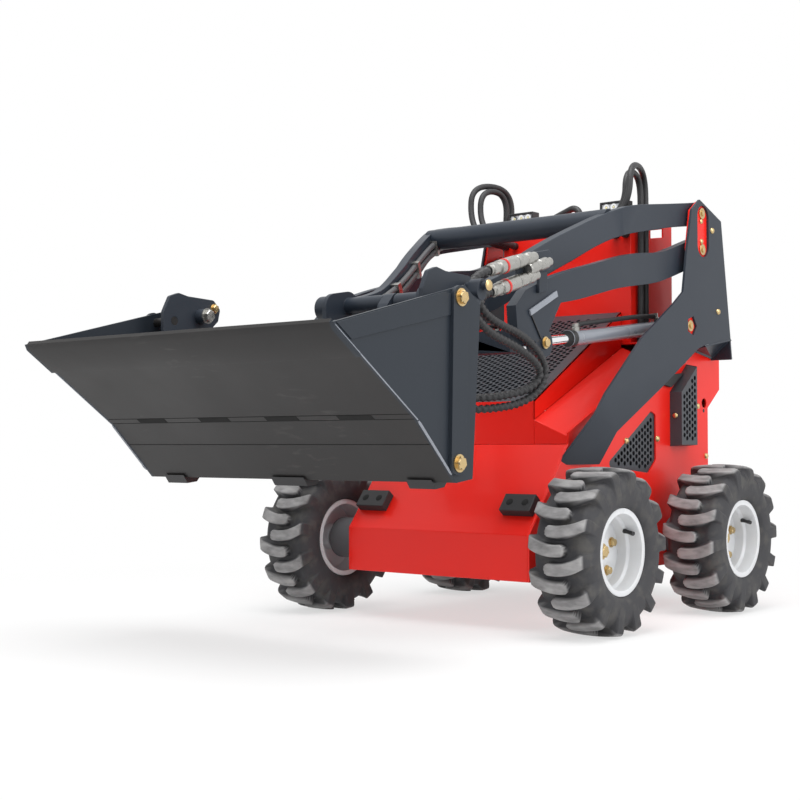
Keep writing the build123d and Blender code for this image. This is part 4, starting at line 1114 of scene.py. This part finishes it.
# Screws, hinges and a paddle latch on the rear hatch, and screws on the panel below it
door_low, door_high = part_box("rear_door")
door_inset = 0.024
rear_screw_size = (0.009, 0.007)
plate_rear = 0.606
plate_screw_columns = (-0.295, 0.295)
plate_screw_rows = (0.200, 0.400, 0.600)
door_screws = []
for x in (door_low.x + door_inset, door_high.x - door_inset):
    door_screws += bolt(Vector((x, door_high.y, door_high.z - door_inset)), backward, *rear_screw_size)
for x in plate_screw_columns:
    for z in plate_screw_rows:
        door_screws += bolt(place(x, plate_rear, z), backward, *rear_screw_size)
piece("rear_door_screws", door_screws, "chassis", zinc, "zinc_steel", crisp)
hinge_length = 0.080
hinge_radius = 0.008
hinge_reach = 0.150
hinge_height = 0.717
hinges = []
for x in (-hinge_reach, hinge_reach):
    start = Vector((x - hinge_length / 2, door_high.y + hinge_radius / 2, hinge_height))
    hinges.append(turned([(0, hinge_radius), (hinge_length, hinge_radius)], start, leftward, sides=16))
piece("rear_door_hinges", hinges, "chassis", black_plastic, "black_plastic", crisp)
latch_lift = 0.015
latch_start = Vector((0, door_high.y, middle_of("rear_door").z + latch_lift))
latch_steps = ((0.040, 0.026, 0.005), (0.0288, 0.015, 0.012))
latch = []
for half_width, half_height, depth in latch_steps:
    latch.append(prism(rectangle(half_width, half_height), latch_start, -leftward, upward, depth))
piece("rear_door_latch", latch, "chassis", black_plastic, "black_plastic", crisp, rounding=0.002)

# Tread studs on the platform
platform_low, platform_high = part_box("platform")
stud_rows = 8
stud_columns = 14
stud_size = (0.008, 0.0035)
stud_foot = platform_high.z - 0.012
side_margin = 0.030
front_margin = 0.028
rear_margin = 0.040
studs = []
for y in np.linspace(platform_low.y + front_margin, platform_high.y - rear_margin, stud_rows):
    for x in np.linspace(platform_low.x + side_margin, platform_high.x - side_margin, stud_columns):
        studs += dome(Vector((x, y, stud_foot)), upward, *stud_size)
piece("platform_studs", studs, "chassis", grey, "grey_paint")

# White floor that keeps the shadow near the machine and runs out into the white background
floor_size = 40
shadow_radius = 0.9
white_radius = 2.4
near_white = 0.6
floor_mesh = bpy.data.meshes.new("floor")
floor_corners = [(x, y, 0) for x, y in rectangle(floor_size, floor_size)]
floor_mesh.from_pydata(floor_corners, [], [(0, 1, 2, 3)])
floor = linked("floor", floor_mesh)
floor_material = new_material("floor", (0.92, 0.92, 0.92), 0.9)
floor_mesh.materials.append(floor_material)


def seen_directly(tree):
    """1 for a ray from the camera or from a mirror or glass, 0 for the light on the object."""
    path = node_of(tree, "LightPath")
    total = path.outputs["Is Camera Ray"]
    for kind in ("Is Glossy Ray", "Is Transmission Ray"):
        total = node_of(tree, "Math", {0: total, 1: path.outputs[kind]}, operation="MAXIMUM").outputs[0]
    return total


tree = floor_material.node_tree
floor_place = node_of(tree, "TexCoord").outputs["Object"]
floor_reach = node_of(tree, "VectorMath", {0: floor_place}, operation="LENGTH").outputs["Value"]
fade = between(floor_material, floor_reach, shadow_radius, white_radius, near_white, 1.0)
white = node_of(tree, "Emission", values={"Strength": 1.0}).outputs["Emission"]
shaded = tree.nodes["Principled BSDF"].outputs["BSDF"]
white_share = times(floor_material, fade, seen_directly(tree))
blend = node_of(tree, "MixShader", {"Fac": white_share, 1: shaded, 2: white})
tree.links.new(blend.outputs["Shader"], tree.nodes["Material Output"].inputs["Surface"])

# Soft studio light
sky_strength = 0.62
world = bpy.data.worlds.new("studio")
scene.world = world
world.use_nodes = True
tree = world.node_tree
sky = tree.nodes["Background"]
sky.inputs["Color"].default_value = (1, 1, 1, 1)
sky_spans = {"To Min": sky_strength, "To Max": 1.0}
sky_level = node_of(tree, "MapRange", {"Value": seen_directly(tree)}, sky_spans)
tree.links.new(sky_level.outputs["Result"], sky.inputs["Strength"])


def soft_box(name, location, target, size, power):
    """Square lamp that points at a target."""
    data = bpy.data.lights.new(name, "AREA")
    data.shape = "SQUARE"
    data.size = size
    data.energy = power
    lamp = linked(name, data)
    aimed(lamp, location, target)


machine_middle = Vector((0, 0, 0.6))
soft_box("top_light", Vector((0.6, -0.9, 4.2)), machine_middle, 3.2, 150)
soft_box("left_light", Vector((4.2, 0.4, 2.4)), machine_middle, 2.4, 60)
soft_box("front_light", Vector((1.2, -5.2, 2.2)), machine_middle, 2.6, 34)
